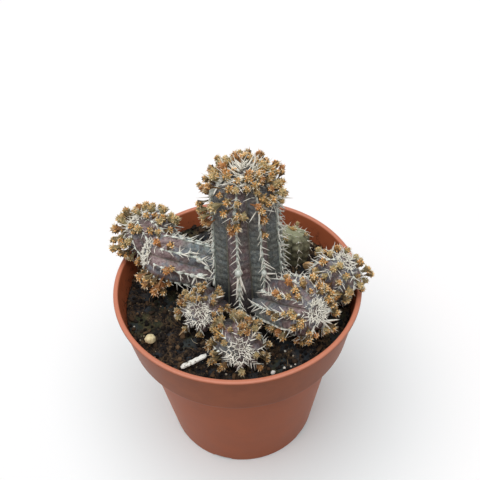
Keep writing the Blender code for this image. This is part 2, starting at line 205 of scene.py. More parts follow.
# Heads that stand apart: rib, distance from the tip in millimetres, size, how far the stalk lifts it.
LONE_HEADS = {
    "main_stem": (
        (1.1, 13, 1.2, 1.1), (7.6, 10, 1.1, 1.0), (4.6, 9, 1.1, 1.0), (2.5, 14.5, 1.15, 1.6),
        (8.38, 3.5, 1.0, 0.6), (1.0, 4.5, 1.0, 0.8), (1.12, 9, 1.15, 1.2), (8.75, 10, 1.1, 1.2),
        (8.38, 7, 1.1, 1.0), (8.4, 12.5, 1.0, 1.0), (8.38, 17.5, 1.15, 0.5), (0.38, 18.5, 0.9, 0.4),
        (2.62, 19.5, 1.0, 1.2), (7.38, 17, 1.0, 2.0), (7.62, 31, 1.1, 2.2), (1.7, 9, 1.0, 1.2),
        (0.45, 9.5, 1.0, 1.2), (1.9, 12, 1.1, 1.6), (1.6, 15, 1.0, 1.0),
    ),
    "offset_left_front": (
        (3.25, 9.5, 1.1, 0.6), (3.1, 13, 1.15, 0.6), (2.1, 14, 1.1, 0.6), (2.2, 16.5, 1.1, 0.6),
        (0.2, 10, 1, 2.5), (0.5, 12, 1, 3.0), (0.8, 14, 1.1, 3.5), (1.0, 11, 1, 2.8), (0.4, 15, 1, 3.2),
        (0.9, 17, 1, 3.2), (0.1, 13, 1, 2.6), (0.7, 9, 1, 2.6), (1.1, 14.5, 1, 2.4), (7.2, 10, 1, 3.0),
        (7.5, 12, 1, 3.2), (6.9, 11, 1, 2.8), (7.0, 14, 1.1, 3.2),
    ),
    "offset_left_back": (
        (0.1, 6, 1.1, 2.0), (0.5, 8, 1.2, 2.8), (0.8, 11, 1.1, 3.2), (1.0, 13.5, 1.1, 3.6),
        (1.3, 15, 1.1, 3.0), (1.6, 11.5, 1.1, 1.6), (2.3, 6.5, 1.1, 0.8), (2.8, 9, 1.1, 0.4),
        (3.4, 14.5, 1.1, 0.3), (3.5, 11, 1.2, 0.3), (4.1, 6, 1.1, 0.3), (4.1, 11.5, 1.1, 0.3),
        (4.1, 15.5, 1.0, 0.3), (4.4, 8, 1.0, 0.2), (4.9, 14.5, 1.0, 0.2), (5.0, 1.5, 0.9, 0.6),
        (5.1, 10.5, 1.0, 0.2), (5.4, 7.5, 1.0, 0.2), (5.4, 17.5, 1.0, 0.2), (6.0, 4.5, 1.1, 0.3),
        (4.6, 12.0, 1.1, 0.2), (8.5, 4.5, 1.2, 2.6), (0.2, 10, 1.1, 3.4), (8.6, 8, 1.1, 3.0),
        (0.6, 14, 1.1, 4.0),
    ),
    "offset_front": (
        (4.0, 13, 1.0, 0.7), (3.62, 13, 1.1, 0.6), (3.25, 13, 1.1, 0.7), (4.38, 9, 1.0, 0.7),
        (3.88, 9, 1.1, 0.6), (3.5, 10, 1.1, 0.6), (3.12, 10.5, 1.1, 0.7), (3.75, 7, 1.0, 0.5),
        (3.5, 8, 1.0, 0.5), (2.75, 9, 1.0, 0.8), (4.88, 15, 1.1, 0.8), (5.38, 9.5, 1.1, 0.7),
        (5.25, 6.5, 1.0, 0.6), (5.75, 11.5, 1.1, 0.8), (6.12, 9, 1.1, 0.8), (6.5, 11.5, 1.0, 0.9),
        (6.62, 12, 1.0, 2.4), (7.0, 11.5, 1.0, 0.8), (7.2, 13, 1.0, 2.4), (6.88, 7, 1.0, 0.6),
        (1.88, 6.5, 0.85, 0.5), (1.75, 9, 0.85, 0.6), (1.62, 12, 0.9, 1.0), (1.38, 12.5, 0.9, 2.4),
        (1.0, 11, 0.9, 0.8), (0.12, 7.5, 0.9, 0.5), (7.75, 10.5, 1.0, 0.9), (0.5, 11, 0.9, 1.4),
    ),
    "offset_right_front": (
        (4.12, 19, 1.0, 0.5), (4.25, 15.5, 1.0, 0.4), (4.38, 12.5, 1.0, 0.4), (3.88, 13, 1.0, 0.5),
        (4.0, 10.5, 1.0, 0.5), (4.0, 8.5, 0.95, 0.6), (3.0, 11.5, 1.0, 0.6), (3.0, 9, 1.0, 0.6),
        (3.0, 7, 0.95, 0.6), (5.12, 18.5, 1.0, 0.4), (5.12, 15.5, 1.0, 0.4), (4.88, 12.5, 1.0, 0.5),
        (4.88, 9.5, 1.0, 0.5), (6.0, 20, 1.05, 0.5), (6.0, 16, 1.05, 0.5), (5.88, 13.5, 1.0, 0.5),
        (5.88, 11, 1.0, 0.6), (5.88, 9.5, 1.0, 0.6), (6.38, 7, 0.95, 0.6), (6.62, 9, 1.0, 0.7),
        (6.75, 10.5, 1.0, 0.7), (7.38, 25.5, 1.05, 0.6), (7.12, 17, 1.05, 0.6), (7.62, 8, 1.0, 0.8),
        (8.0, 14.5, 1.05, 0.9), (0.12, 10.5, 1.3, 0.8), (0.88, 10, 1.0, 0.8), (1.25, 9.5, 1.0, 0.6),
        (1.62, 5.5, 0.95, 0.6),
    ),
    "offset_right": (
        (2.9, 5.5, 0.9, 0.2), (2.0, 5.0, 0.9, 0.2), (1.0, 5.0, 0.9, 0.3), (0.0, 5.5, 1.0, 0.6),
        (0.12, 9.5, 1.0, 1.0), (7.12, 6.5, 1.0, 0.8), (0.0, 11, 1.0, 2.4), (6.12, 6.0, 1.0, 0.6),
        (5.0, 6.5, 1.0, 0.6), (5.0, 9.5, 1.0, 0.5), (4.25, 8.5, 0.9, 0.3), (3.4, 9.0, 0.9, 0.2),
        (3.6, 6.5, 0.9, 0.2), (5.8, 9.5, 1.1, 0.8), (7.4, 13, 1.1, 1.6), (6.6, 11, 1.1, 1.0),
        (6.5, 15.5, 1.1, 1.2), (6.0, 13.5, 1.1, 0.8), (6.1, 19.5, 1.1, 1.0), (7.2, 9.5, 1.0, 1.0),
        (0.6, 7.0, 0.9, 0.6), (4.6, 12.0, 0.9, 0.5), (5.4, 4.0, 0.9, 0.5), (5.5, 12.0, 1.0, 0.7),
    ),
}


class Habit(NamedTuple):
    """How one stem grows. Lengths are millimetres; places are measured over the surface from the tip."""

    step: float  # between the cyathia of a row
    head: float  # size of the cyathia
    extra: int  # cyathia between the ribs close to the tip
    hue: float  # of the cyathia, from rusty (0) to olive yellow (1)
    wax: float  # how pale and waxy the skin is
    flush: float  # how purple the skin is
    burst: float  # where the crowded young forks end
    tuft: tuple  # forks on the very tip: how many, how far out, the share of long ones, their size
    among: tuple = (0, 0, 0)  # longer pale forks among the cyathia: how many, from where, to where
    reach: float = 0.6  # how far a stalk may carry a cyathium out of the skin
    painted_shade: float = 0.0  # how far the cyathia have dried to brown
    pitch: float = 3.2  # step between the shields of an older rib
    shield: float = 1.0  # size of the shields
    fork: float = 1.0  # size of the forks on the older ribs
    cork: float = 0.0  # how far the cyathia are darkened, as painted shade


HABITS = {
    "main_stem": Habit(
        2.8, 1.12, 10, 0.50, 0.12, 0.55, 6.0, (110, 8.0, 0.6, 1.35),
        among=(60, 5, 21), reach=3.0, pitch=3.6, fork=0.88,
    ),
    "offset_left_front": Habit(
        2.6, 1.10, 0, 0.45, 1.0, 0.22, 8.5, (84, 5.6, 0.0, 1.0), reach=2.5, pitch=4.2, shield=1.35,
    ),
    "offset_left_back": Habit(
        2.8, 1.12, 2, 0.62, 0.45, 0.5, 4.0, (40, 3.4, 0.3, 1.0), among=(14, 4, 14), reach=1.8,
    ),
    # The two low front offsets have their cyathia darkened as painted shade.
    "offset_front_left": Habit(2.4, 0.92, 0, 0.45, 0.50, 0.6, 7.6, (46, 4.6, 0.45, 0.95), painted_shade=0.24),
    "offset_front": Habit(2.5, 1.00, 0, 0.60, 0.20, 0.6, 7.6, (44, 4.6, 0.45, 0.95), painted_shade=0.32),
    "offset_right_front": Habit(2.4, 1.02, 0, 0.38, 0.72, 0.8, 7.5, (66, 4.0, 0.0, 1.0)),
    "offset_right": Habit(
        2.7, 1.08, 0, 0.60, 0.75, 0.5, 4.5, (50, 3.6, 0.2, 1.0), among=(10, 4, 12), reach=0.9,
    ),
    "offset_back_right": Habit(
        3.0, 0.70, 0, 0.90, 0.10, 0.0, 1.5, (12, 1.5, 0.0, 1.0), pitch=4.5, shield=0.6, cork=1.0,
    ),
}

# Single long spines: rib, distance from the tip, length, sideways, towards the tip, outward,
# thickness and shade.
LONG_SPINES = {
    "main_stem": (
        (0, 18.5, 8.5, 0.55, -0.95, 0.35, 0.62, 0.55), (0, 19.5, 4.0, -0.35, -0.9, 0.5, 0.5, 0.3),
        (0, 49.0, 10.5, -0.05, -0.95, 0.35, 0.85, 0.0), (0, 49.0, 10.5, 0.45, -0.95, 0.35, 0.85, 0.0),
        (0, 57.5, 6.0, -0.25, -0.9, 0.35, 0.8, 0.0), (0, 57.5, 5.5, 0.4, -0.9, 0.35, 0.8, 0.0),
        (0, 70.0, 6.5, 1.0, -0.1, 0.3, 0.6, 0.0), (0, 69.0, 5.5, -0.45, -0.9, 0.4, 0.6, 0.0),
        (1, 16.5, 8.5, -0.3, -0.9, 0.35, 0.75, 0.1), (1, 20.0, 5.5, -0.35, -0.9, 0.3, 0.6, 0.1),
        (1, 17.0, 6.5, 0.9, -0.25, 0.8, 0.6, 0.2), (1, 44.0, 7.5, 0.75, -0.75, 0.3, 0.6, 0.1),
        (1, 50.0, 6.0, 0.9, -0.1, 0.4, 0.75, 0.0), (1, 50.5, 4.5, 0.5, -0.8, 0.5, 0.75, 0.0),
        (2, 15.5, 4.5, -0.4, -0.9, 0.6, 0.55, 0.1), (2, 17.0, 7.5, 0.4, -0.35, 0.9, 0.6, 0.1),
        (2, 19.5, 5.0, 0.2, -0.7, 0.8, 0.65, 0.3), (2, 30.0, 6.0, 0.5, -0.7, 0.7, 0.55, 0.1),
        (2, 36.0, 7.0, 0.5, -0.7, 0.7, 0.55, 0.1), (2, 42.0, 5.0, 0.6, -0.1, 0.8, 0.55, 0.1),
        (3, 7.5, 8.0, 0.1, 0.6, 0.7, 0.75, 0.95), (3, 8.5, 9.5, -0.1, -0.4, 0.85, 0.75, 0.92),
        (8, 10.0, 9.0, -0.35, -0.2, 0.9, 0.85, 0.0), (8, 10.5, 6.0, 0.9, -0.8, 0.3, 0.75, 0.0),
        (8, 30.0, 5.0, -0.4, -0.5, 0.8, 0.5, 0.1), (8, 38.0, 5.5, -0.4, -0.6, 0.8, 0.5, 0.1),
    ),
    "offset_left_front": (
        (2, 20.5, 5.0, -0.7, -0.3, 0.6, 0.6, 0.0), (2, 27.5, 5.5, 0.3, -0.9, 0.6, 0.75, 0.0),
        (2.9, 27.0, 5.5, -0.5, -0.9, 0.7, 0.7, 0.2), (2.9, 27.5, 4.5, 0.7, -0.6, 0.7, 0.7, 0.2),
        (3, 18.5, 5.0, -0.3, -0.7, 0.8, 0.65, 0.25), (3, 20.0, 4.2, 0.3, -0.6, 0.9, 0.6, 0.2),
        (3.2, 23.0, 4.5, -0.2, -0.8, 0.8, 0.6, 0.2), (2.1, 30.0, 5.0, 0.7, -0.3, 0.7, 0.75, 0.1),
        (2.62, 31.0, 4.5, -0.6, -0.8, 0.7, 0.6, 0.1), (2, 27.5, 4.5, -0.8, 0.2, 0.5, 0.75, 0.0),
        (3, 18.0, 4.0, 0.9, 0.3, 0.6, 0.6, 0.0), (3, 22.0, 4.5, 0.8, 0.1, 0.6, 0.6, 0.0),
    ),
    "offset_front_left": (
        (3, 9.0, 5.5, -0.6, -0.8, 0.5, 0.65, 0.0), (3, 13.0, 5.0, 0.5, -0.8, 0.8, 0.55, 0.2),
        (6, 11.0, 6.0, 0.1, -0.8, 0.8, 0.55, 0.3), (7, 9.0, 7.5, 0.0, -0.8, 0.7, 0.55, 0.82),
        (0, 9.5, 7.0, -0.3, -0.9, 0.7, 0.55, 0.85), (0, 8.0, 5.0, -0.9, -0.9, 0.4, 0.5, 0.75),
    ),
    "offset_front": (
        (5, 8.5, 7.0, 0.1, -0.8, 0.9, 0.6, 0.9), (3, 8.0, 6.0, 0.1, -0.8, 0.7, 0.6, 0.7),
        (2, 16.0, 5.0, -0.7, -0.5, 0.5, 0.6, 0.1),
    ),
    "offset_right_front": (
        (0, 6.5, 8.5, 0.1, -0.9, 0.5, 0.75, 0.0), (0, 6.0, 7.5, 0.95, -0.6, 0.5, 0.75, 0.0),
        (0, 5.0, 5.0, 0.5, -0.9, 0.6, 0.7, 0.0), (8, 6.5, 5.0, -0.2, -0.9, 0.5, 0.6, 0.0),
        (7, 10.0, 5.0, -0.3, -0.8, 0.8, 0.5, 0.1), (6, 13.0, 5.0, -0.9, -0.4, 0.5, 0.7, 0.0),
        (5, 13.0, 5.5, -0.2, -0.95, 0.2, 0.6, 0.1), (5, 26.0, 5.5, 0.3, 0.9, 0.5, 0.6, 0.0),
        (5, 30.0, 5.5, -0.3, 0.6, 0.5, 0.7, 0.0),
    ),
    "offset_right": ((4, 7.5, 5.0, -0.6, -0.9, 0.4, 0.6, 0.1), (6, 9.0, 4.0, 0.6, -0.6, 0.6, 0.5, 0.1)),
}

# The large shields: rib, distance from the tip in millimetres, size.
LARGE_SHIELDS = {
    "main_stem": (
        (0, 48.0, 2.2), (0, 57.0, 1.5), (1, 16.0, 1.4), (1, 49.5, 1.9), (0, 18.0, 1.1), (8, 14.0, 2.0),
        (8, 10.0, 1.3), (2, 15.0, 1.2), (8, 44.0, 1.6), (7, 50.0, 1.6),
    ),
    "offset_left_front": (
        (2.9, 27.0, 1.5), (2.62, 31.0, 1.3), (2, 26.0, 1.2), (2.1, 29.5, 1.6), (3, 18.0, 1.2),
        (3.2, 22.5, 1.1), (2, 20.5, 1.1),
    ),
    "offset_front_left": ((3, 9.0, 1.1),),
    "offset_right_front": ((5, 30.0, 1.4), (1, 6.5, 1.3)),
}

# How purple the main stem's flanks are, two to a rib: the one before its crest and the one after.
MAIN_FLUSH = (
    0.90, 0.60, 0.05, 0.90, 0.10, 0.70, 0.30, 0.80, 0.20,
    0.70, 0.10, 0.80, 0.30, 0.70, 0.20, 0.80, 0.60, 0.05,
)

# Where the camera stands in metres, and its turn in degrees.
CAMERA_PLACE = (0.0, -0.20497686, 0.30705362)
CAMERA_TURN = (46.315666, 1.844281, -2.324900)

# What every colour setting has.
SWATCH = {"subtype": "COLOR", "min": 0, "max": 1}

# --- node trees ----------------------------------------------------------------------------------


class Signal:
    """A socket of a node tree. Arithmetic on it adds the Math nodes that do the sum."""

    def __init__(self, graph, socket):
        self.graph = graph
        self.socket = socket

    def __add__(self, other):
        return self.graph.maths("ADD", self, other)

    def __sub__(self, other):
        return self.graph.maths("SUBTRACT", self, other)

    def __rsub__(self, other):
        return self.graph.maths("SUBTRACT", other, self)

    def __mul__(self, other):
        return self.graph.maths("MULTIPLY", self, other)

    def __truediv__(self, other):
        return self.graph.maths("DIVIDE", self, other)

    def __pow__(self, other):
        return self.graph.maths("POWER", self, other)

    __radd__ = __add__
    __rmul__ = __mul__


class Graph:
    """A node tree being written: every node but the sums comes from node()."""

    def __init__(self, tree):
        self.tree = tree

    def node(self, kind, settings=None, sockets=None, output=0):
        """One node: its settings first, then the values or links of its sockets."""
        made = self.tree.nodes.new(kind)
        for key, value in (settings or {}).items():
            if key == "stops":
                set_stops(made.color_ramp, value)
            else:
                setattr(made, key, value)
        for key, value in (sockets or {}).items():
            self.feed(made.inputs[key], value)
        return Signal(self, made.outputs[output]) if made.outputs else made

    def feed(self, socket, value):
        if isinstance(value, Signal):
            self.tree.links.new(value.socket, socket)
        elif socket.type == "RGBA" and len(value) == 3:
            socket.default_value = (*value, 1.0)
        else:
            socket.default_value = value

    def maths(self, operation, *values):
        return self.node("ShaderNodeMath", {"operation": operation}, dict(enumerate(values)))

    def vector_maths(self, operation, *values, output=0):
        return self.node("ShaderNodeVectorMath", {"operation": operation}, dict(enumerate(values)), output)

    def scaled(self, vector, amount):
        return self.node("ShaderNodeVectorMath", {"operation": "SCALE"}, {0: vector, "Scale": amount})

    def ramp(self, value, low, high):
        """0 below low, 1 above high and a smooth rise between."""
        settings = {"interpolation_type": "SMOOTHSTEP"}
        return self.node("ShaderNodeMapRange", settings, {0: value, 1: low, 2: high})

    def colours(self, value, stops):
        return self.node("ShaderNodeValToRGB", {"stops": stops}, {0: value})

    def blend(self, first, second, share):
        """Colour that goes from the first to the second as share goes from 0 to 1."""
        return self.node("ShaderNodeMix", {"data_type": "RGBA"}, {0: share, 6: first, 7: second}, 2)

    def layers(self, base, *layers):
        """The base colour with (colour, share) layers laid over it, one after the other."""
        for colour, share in layers:
            base = self.blend(base, colour, share)
        return base

    def attribute(self, name):
        return self.node("ShaderNodeAttribute", {"attribute_name": name}, output="Fac")

    def place(self):
        return self.node("ShaderNodeTexCoord", output="Object")

    def noise(self, where, size, detail=3.0, roughness=0.55, seed=0.0):
        """Noise whose features are about this size in metres."""
        settings = {"noise_dimensions": "4D"}
        values = {"Vector": where, "Scale": 1 / size, "Detail": detail, "Roughness": roughness, "W": seed}
        return self.node("ShaderNodeTexNoise", settings, values, "Fac")

    def bump(self, height, distance, strength=1.0):
        sockets = {"Height": height, "Distance": distance, "Strength": strength}
        return self.node("ShaderNodeBump", None, sockets)


def set_stops(ramp, stops):
    while len(ramp.elements) < len(stops):
        ramp.elements.new(1.0)
    for element, (position, colour) in zip(ramp.elements, stops):
        element.position = position
        element.color = (*colour, 1.0)


class Surface(Graph):
    """The node tree of a new material, round its Principled shader."""

    def __init__(self, name, **constants):
        self.material = bpy.data.materials.new(name)
        self.material.use_nodes = True
        super().__init__(self.material.node_tree)
        self.shader = self.tree.nodes["Principled BSDF"]
        for key, value in constants.items():
            self.shader.inputs[key.replace("_", " ")].default_value = value

    def painted(self, colour, roughness, normal, **others):
        """The material, once its shader has these values or links."""
        self.feed(self.shader.inputs["Base Color"], colour)
        self.feed(self.shader.inputs["Roughness"], roughness)
        self.feed(self.shader.inputs["Normal"], normal)
        for key, value in others.items():
            self.feed(self.shader.inputs[key.replace("_", " ")], value)
        return self.material


# --- materials -----------------------------------------------------------------------------------


def terracotta_plastic(colour):
    """Satin moulded polypropylene with a faint mottle and pale scuffs, a painted highlight on the lip and
    splashes of peat inside.
    """
    graph = Surface("terracotta_plastic", Specular_IOR_Level=0.1, Coat_Roughness=0.35)
    where = graph.place()
    mottle = graph.noise(where, 0.011, detail=4, seed=1.0)
    fine = graph.noise(where, 0.0012, detail=2, seed=2.0)
    deep = tuple(c * 0.90 for c in colour)
    pale = tuple(min(1.0, c * 1.10 + 0.004) for c in colour)
    split = graph.node("ShaderNodeSeparateXYZ", None, {0: where}, "Z")
    level = graph.vector_maths("MULTIPLY", where, (1, 1, 0))
    across = graph.vector_maths("LENGTH", level, output="Value")
    rise = (split - (POT_HEIGHT - COLLAR_HEIGHT)) / (COLLAR_HEIGHT - LIP_HEIGHT)
    outer = COLLAR_BOTTOM_RADIUS + rise * (COLLAR_TOP_RADIUS - COLLAR_BOTTOM_RADIUS)
    # inside: the inner surfaces, which take the painted bounced light and the splashes of peat.
    inside = 1 - graph.ramp(across - outer, -0.0009, -0.0005)
    splash = graph.ramp(graph.noise(where, 0.0030, detail=5, roughness=0.7, seed=3.0), 0.50, 0.66)
    dirt = inside * splash * (1 - graph.ramp(split, 0.078, 0.0865)) * graph.ramp(split, 0.070, 0.074)
    scuff = graph.ramp(graph.noise(where, 0.0016, detail=4, roughness=0.75, seed=4.0), 0.63, 0.74)
    # lip: the top of the lip, painted lighter and pinker as a painted highlight where the overhead light
    # falls.
    lip = graph.ramp(split, POT_HEIGHT - LIP_HEIGHT * 0.7, POT_HEIGHT - 0.0002)
    base = graph.layers(
        graph.colours(mottle, [(0.35, deep), (0.65, pale)]),
        # Painted bounced light: the inner wall lighter and redder than the same plastic outside.
        ((0.660, 0.185, 0.085), inside * 0.5),
        ((0.035, 0.022, 0.016), dirt * 0.8),
        (pale, scuff * 0.5),
        # painted highlight on the lip
        ((0.600, 0.215, 0.130), lip * (0.65 + 0.35 * fine)),
    )
    rough = 0.34 + 0.14 * mottle + 0.25 * dirt + 0.08 * scuff
    normal = graph.bump(fine * 0.6 + mottle, 0.00006, 0.5)
    return graph.painted(base, rough, normal, Coat_Weight=lip * 0.6)


def peat(colour):
    """Loose dark peat: nearly black crumbs with brown fibre between them."""
    graph = Surface("peat", Specular_IOR_Level=0.1)
    where = graph.place()
    coarse = graph.noise(where, 0.0035, detail=6, roughness=0.7, seed=5.0)
    fine = graph.noise(where, 0.0007, detail=4, roughness=0.7, seed=6.0)
    brown = (0.095, 0.060, 0.032)
    stops = [(0.36, (0.005, 0.005, 0.006)), (0.48, colour), (0.58, brown), (0.70, (0.26, 0.21, 0.14))]
    moss = graph.ramp(graph.noise(where, 0.0120, detail=2, seed=24.0), 0.54, 0.66)
    cool = graph.ramp(graph.noise(where, 0.0070, detail=3, seed=27.0), 0.50, 0.60)
    base = graph.layers(
        graph.colours(coarse * 0.55 + fine * 0.45, stops),
        ((0.050, 0.058, 0.028), moss * fine),
        ((0.036, 0.046, 0.055), cool * (0.30 + 0.70 * coarse)),
    )
    normal = graph.bump(fine + coarse, 0.0006, 0.9)
    return graph.painted(base, 0.82 + 0.16 * fine, normal)


def litter():
    """Crumbs, bark, fibre and grit of the potting mix; each piece has its own shade."""
    graph = Surface("litter", Specular_IOR_Level=0.15)
    where = graph.place()
    shade = graph.attribute("shade")
    fine = graph.noise(where, 0.0006, detail=4, roughness=0.7, seed=7.0)
    stops = [
        (0.0, (0.005, 0.004, 0.004)),
        (0.45, (0.020, 0.015, 0.012)),
        (0.72, (0.095, 0.055, 0.030)),
        (0.88, (0.230, 0.150, 0.080)),
        (0.95, (0.420, 0.360, 0.260)),
        (1.0, (0.640, 0.610, 0.540)),
    ]
    base = graph.colours(shade + (fine - 0.5) * 0.16, stops)
    return graph.painted(base, 0.80 + 0.18 * fine, graph.bump(fine, 0.0003, 0.8))


def stem_skin(colour, purple):
    """Waxy grey-green skin flushed purple, with painted highlight and shade along the tubercle bands and a
    pale horny rib edge.
    """
    graph = Surface("stem_skin")
    where = graph.place()
    keys = ("rib", "band", "arc", "flush", "cork", "wax")
    rib, band, arc, flush, cork, wax = (graph.attribute(key) for key in keys)
    soft = graph.noise(where, 0.0060, detail=3, seed=8.0)
    fine = graph.noise(where, 0.0006, detail=4, roughness=0.65, seed=9.0)
    stipple = graph.noise(where, 0.0016, detail=3, roughness=0.6, seed=10.0)
    cloud = graph.noise(where, 0.0055, detail=2, seed=11.0)
    grain = graph.noise(where, 0.0011, detail=4, roughness=0.75, seed=25.0)
    crease = graph.noise(where, 0.0042, detail=3, roughness=0.6, seed=26.0)
    young = (1 - graph.ramp(arc, 0.013, 0.022)) * wax
    tint = graph.ramp(flush + young * 0.7 + (soft - 0.5) * 0.9, 0.25, 0.75)
    waxy = graph.blend((0.340, 0.400, 0.370), (0.350, 0.205, 0.215), tint * 0.80)
    # Painted shade on the skin among and below the cyathia, 4 to 36 mm from the tip; less on waxy skins.
    painted_shade_under_crown = graph.ramp(arc, 0.004, 0.012) * (1 - graph.ramp(arc, 0.020, 0.036)) * (1 - wax * 0.75)
    pale = (0.235, 0.225, 0.185)
    bark = graph.colours(stipple, [(0.35, (0.065, 0.060, 0.032)), (0.65, (0.230, 0.220, 0.130))])
    bark = graph.blend(bark, (0.340, 0.350, 0.220), 1 - graph.ramp(arc, 0.004, 0.009))
    line = graph.ramp(rib, 0.900, 0.945) * (1 - graph.ramp(rib, 0.968, 0.995))
    horn = 1 - graph.ramp(rib + (fine - 0.5) * 0.10, 0.050, 0.120)
    horn = horn * graph.ramp(arc, 0.006, 0.016) * (1 - cork * 0.8)
    base = graph.layers(
        graph.blend(colour, purple, tint),
        (waxy, wax),
        (tuple(c * 0.55 for c in purple), painted_shade_under_crown * 0.55),
        # Painted shade on the skin under the crowded forks of the tip.
        ((0.060, 0.046, 0.042), (1 - graph.ramp(arc, 0.0045, 0.0085)) * 0.60),
        # Painted highlight on the tubercles' crests and painted shade between them and down in the furrows.
        (pale, graph.ramp(band, 0.30, 1.0) * 0.34 * (1 - wax)),
        ((0.020, 0.018, 0.017), (1 - graph.ramp(band, 0.0, 0.35)) * 0.45 * (1 - wax * 0.85)),
        (pale, graph.ramp(stipple, 0.56, 0.72) * 0.18),
        # Bluish-grey patches: partly the real glaucous bloom, partly a painted bluish reflection on the waxy
        # skin.
        ((0.200, 0.270, 0.330), graph.ramp(cloud, 0.48, 0.58) * (0.16 + 0.46 * wax)),
        ((0.045, 0.036, 0.034), (1 - graph.ramp(grain, 0.38, 0.50)) * 0.60),
        ((0.470, 0.450, 0.390), graph.ramp(grain, 0.52, 0.63) * 0.55),
        ((0.150, 0.095, 0.085), graph.ramp(crease, 0.54, 0.64) * wax * 0.45),
        # Painted shadow on the lower main stem, where the offsets crowd round its foot.
        ((0.014, 0.018, 0.024), graph.ramp(arc, 0.056, 0.064) * (1 - wax) * 0.85),
        (bark, cork),
        ((0.290, 0.275, 0.200), line * 0.55),
        # Painted shade at the bottom of each furrow.
        ((0.018, 0.014, 0.014), graph.ramp(rib, 0.975, 1.0) * 0.8),
        ((0.680, 0.740, 0.640), horn * 0.85),
    )
    normal = graph.bump(fine * 0.5 + stipple + grain * 0.8, 0.0005, 0.8)
    rough = 0.42 + 0.20 * soft + 0.25 * cork
    return graph.painted(base, rough, normal)


def cyathia(colour, painted_shade=0.0):
    """Rusty and ochre glands in pale-fringed olive cups, the cups painted dark as shade in the core; the
    second argument darkens the whole flower as painted shade.
    """
    graph = Surface("cyathia", Specular_IOR_Level=0.35)
    where = graph.place()
    tone = graph.attribute("tone")
    shade = graph.attribute("shade")
    fine = graph.noise(where, 0.0010, detail=3, roughness=0.7, seed=12.0)
    patch = graph.noise(where, 0.0060, detail=2, seed=22.0)
    stops = [
        # The darkest tones, on the cups, are painted shade in the flower's core.
        (0.0, (0.040, 0.026, 0.014)),
        (0.20, (0.150, 0.092, 0.036)),
        (0.36, (0.500, 0.320, 0.120)),
        (0.50, (0.790, 0.380, 0.110)),
        (0.64, colour),
        (0.80, (0.970, 0.720, 0.360)),
        (1.0, (0.950, 0.910, 0.760)),
    ]
    hue = shade + (patch - 0.5) * 0.5
    green = graph.noise(where, 0.0022, detail=2, seed=23.0)
    speck = graph.noise(where, 0.0007, detail=2, roughness=0.7, seed=21.0)
    base = graph.layers(
        graph.colours(tone + (fine - 0.5) * 0.45, stops),
        ((0.600, 0.210, 0.060), (1 - graph.ramp(hue, 0.05, 0.40)) * 0.50),
        ((0.620, 0.520, 0.270), graph.ramp(hue, 0.50, 1.0) * 0.55),
        ((0.330, 0.350, 0.200), graph.ramp(green, 0.56, 0.66) * 0.35),
        ((0.920, 0.800, 0.560), graph.ramp(speck, 0.58, 0.68) * 0.40),
        # Painted shade: the whole flower darkened towards dark brown.
        ((0.070, 0.045, 0.020), painted_shade),
    )
    return graph.painted(base, 0.60 + 0.25 * fine, graph.bump(fine, 0.0002, 0.7))


def spines(colour):
    """Bone-white spines on mint-grey shields; tone runs from the shield to the spine's point."""
    graph = Surface("spines", Specular_IOR_Level=0.4)
    where = graph.place()
    tone = graph.attribute("tone")
    shade = graph.attribute("shade")
    fine = graph.noise(where, 0.0008, detail=3, roughness=0.6, seed=13.0)
    shield = graph.colours(fine, [(0.33, (0.560, 0.630, 0.550)), (0.52, (0.890, 0.930, 0.860))])
    spine = graph.blend(colour, (0.660, 0.400, 0.130), graph.ramp(shade, 0.62, 0.90))
    point = graph.blend(spine, (0.420, 0.300, 0.190), graph.ramp(tone, 0.88, 1.0) * 0.45)
    base = graph.blend(shield, point, graph.ramp(tone, 0.10, 0.25))
    base = graph.blend(base, (0.400, 0.360, 0.270), graph.ramp(fine, 0.60, 0.72) * 0.20)
    return graph.painted(base, 0.55 + 0.2 * fine, graph.bump(fine, 0.0002, 0.6))


def dry_matter(name, size, *stops):
    """Mottled dry mineral or plant matter: grit, perlite, old stalk or husk."""
    graph = Surface(name, Specular_IOR_Level=0.3)
    where = graph.place()
    coarse = graph.noise(where, size, detail=5, roughness=0.65, seed=14.0)
    fine = graph.noise(where, size * 0.18, detail=3, roughness=0.7, seed=15.0)
    base = graph.colours(coarse * 0.65 + fine * 0.35, stops)
    normal = graph.bump(coarse * 0.4 + fine, 0.0002, 0.8)
    return graph.painted(base, 0.72 + 0.25 * fine, normal)


# --- meshes --------------------------------------------------------------------------------------


def object_from(name, mesh):
    """An object of this mesh, lamp or camera, linked to the scene."""
    made = bpy.data.objects.new(name, mesh)
    bpy.context.scene.collection.objects.link(made)
    return made


def mesh_from(name, points, faces, attributes=None, smooth=True):
    """A mesh from points and faces, with one named number for each point where given."""
    mesh = bpy.data.meshes.new(name)
    mesh.from_pydata([tuple(point) for point in points], [], faces)
    for key, (kind, values) in (attributes or {}).items():
        layer = mesh.attributes.new(key, kind, "POINT")
        field = "vector" if kind == "FLOAT_VECTOR" else "value"
        number = np.int32 if kind == "INT" else np.float32
        layer.data.foreach_set(field, np.asarray(values, dtype=number).ravel())
    if smooth:
        mesh.shade_smooth()
    mesh.update()
    return mesh


def circle(radius, z, count):
    """Points round the upright axis."""
    turns = (math.tau * k / count for k in range(count))
    return [(radius * math.cos(turn), radius * math.sin(turn), z) for turn in turns]


def tube_faces(rows, columns):
    """Faces of a closed tube: point 0 is its first pole, then the rows, then the last pole."""
    faces = []
    last = 1 + rows * columns
    for j in range(columns):
        after = (j + 1) % columns
        faces.append((0, 1 + j, 1 + after))
        faces.append((last, last - columns + after, last - columns + j))
    for i in range(rows - 1):
        near, far = 1 + i * columns, 1 + (i + 1) * columns
        for j in range(columns):
            after = (j + 1) % columns
            faces.append((near + j, far + j, far + after, near + after))
    return faces


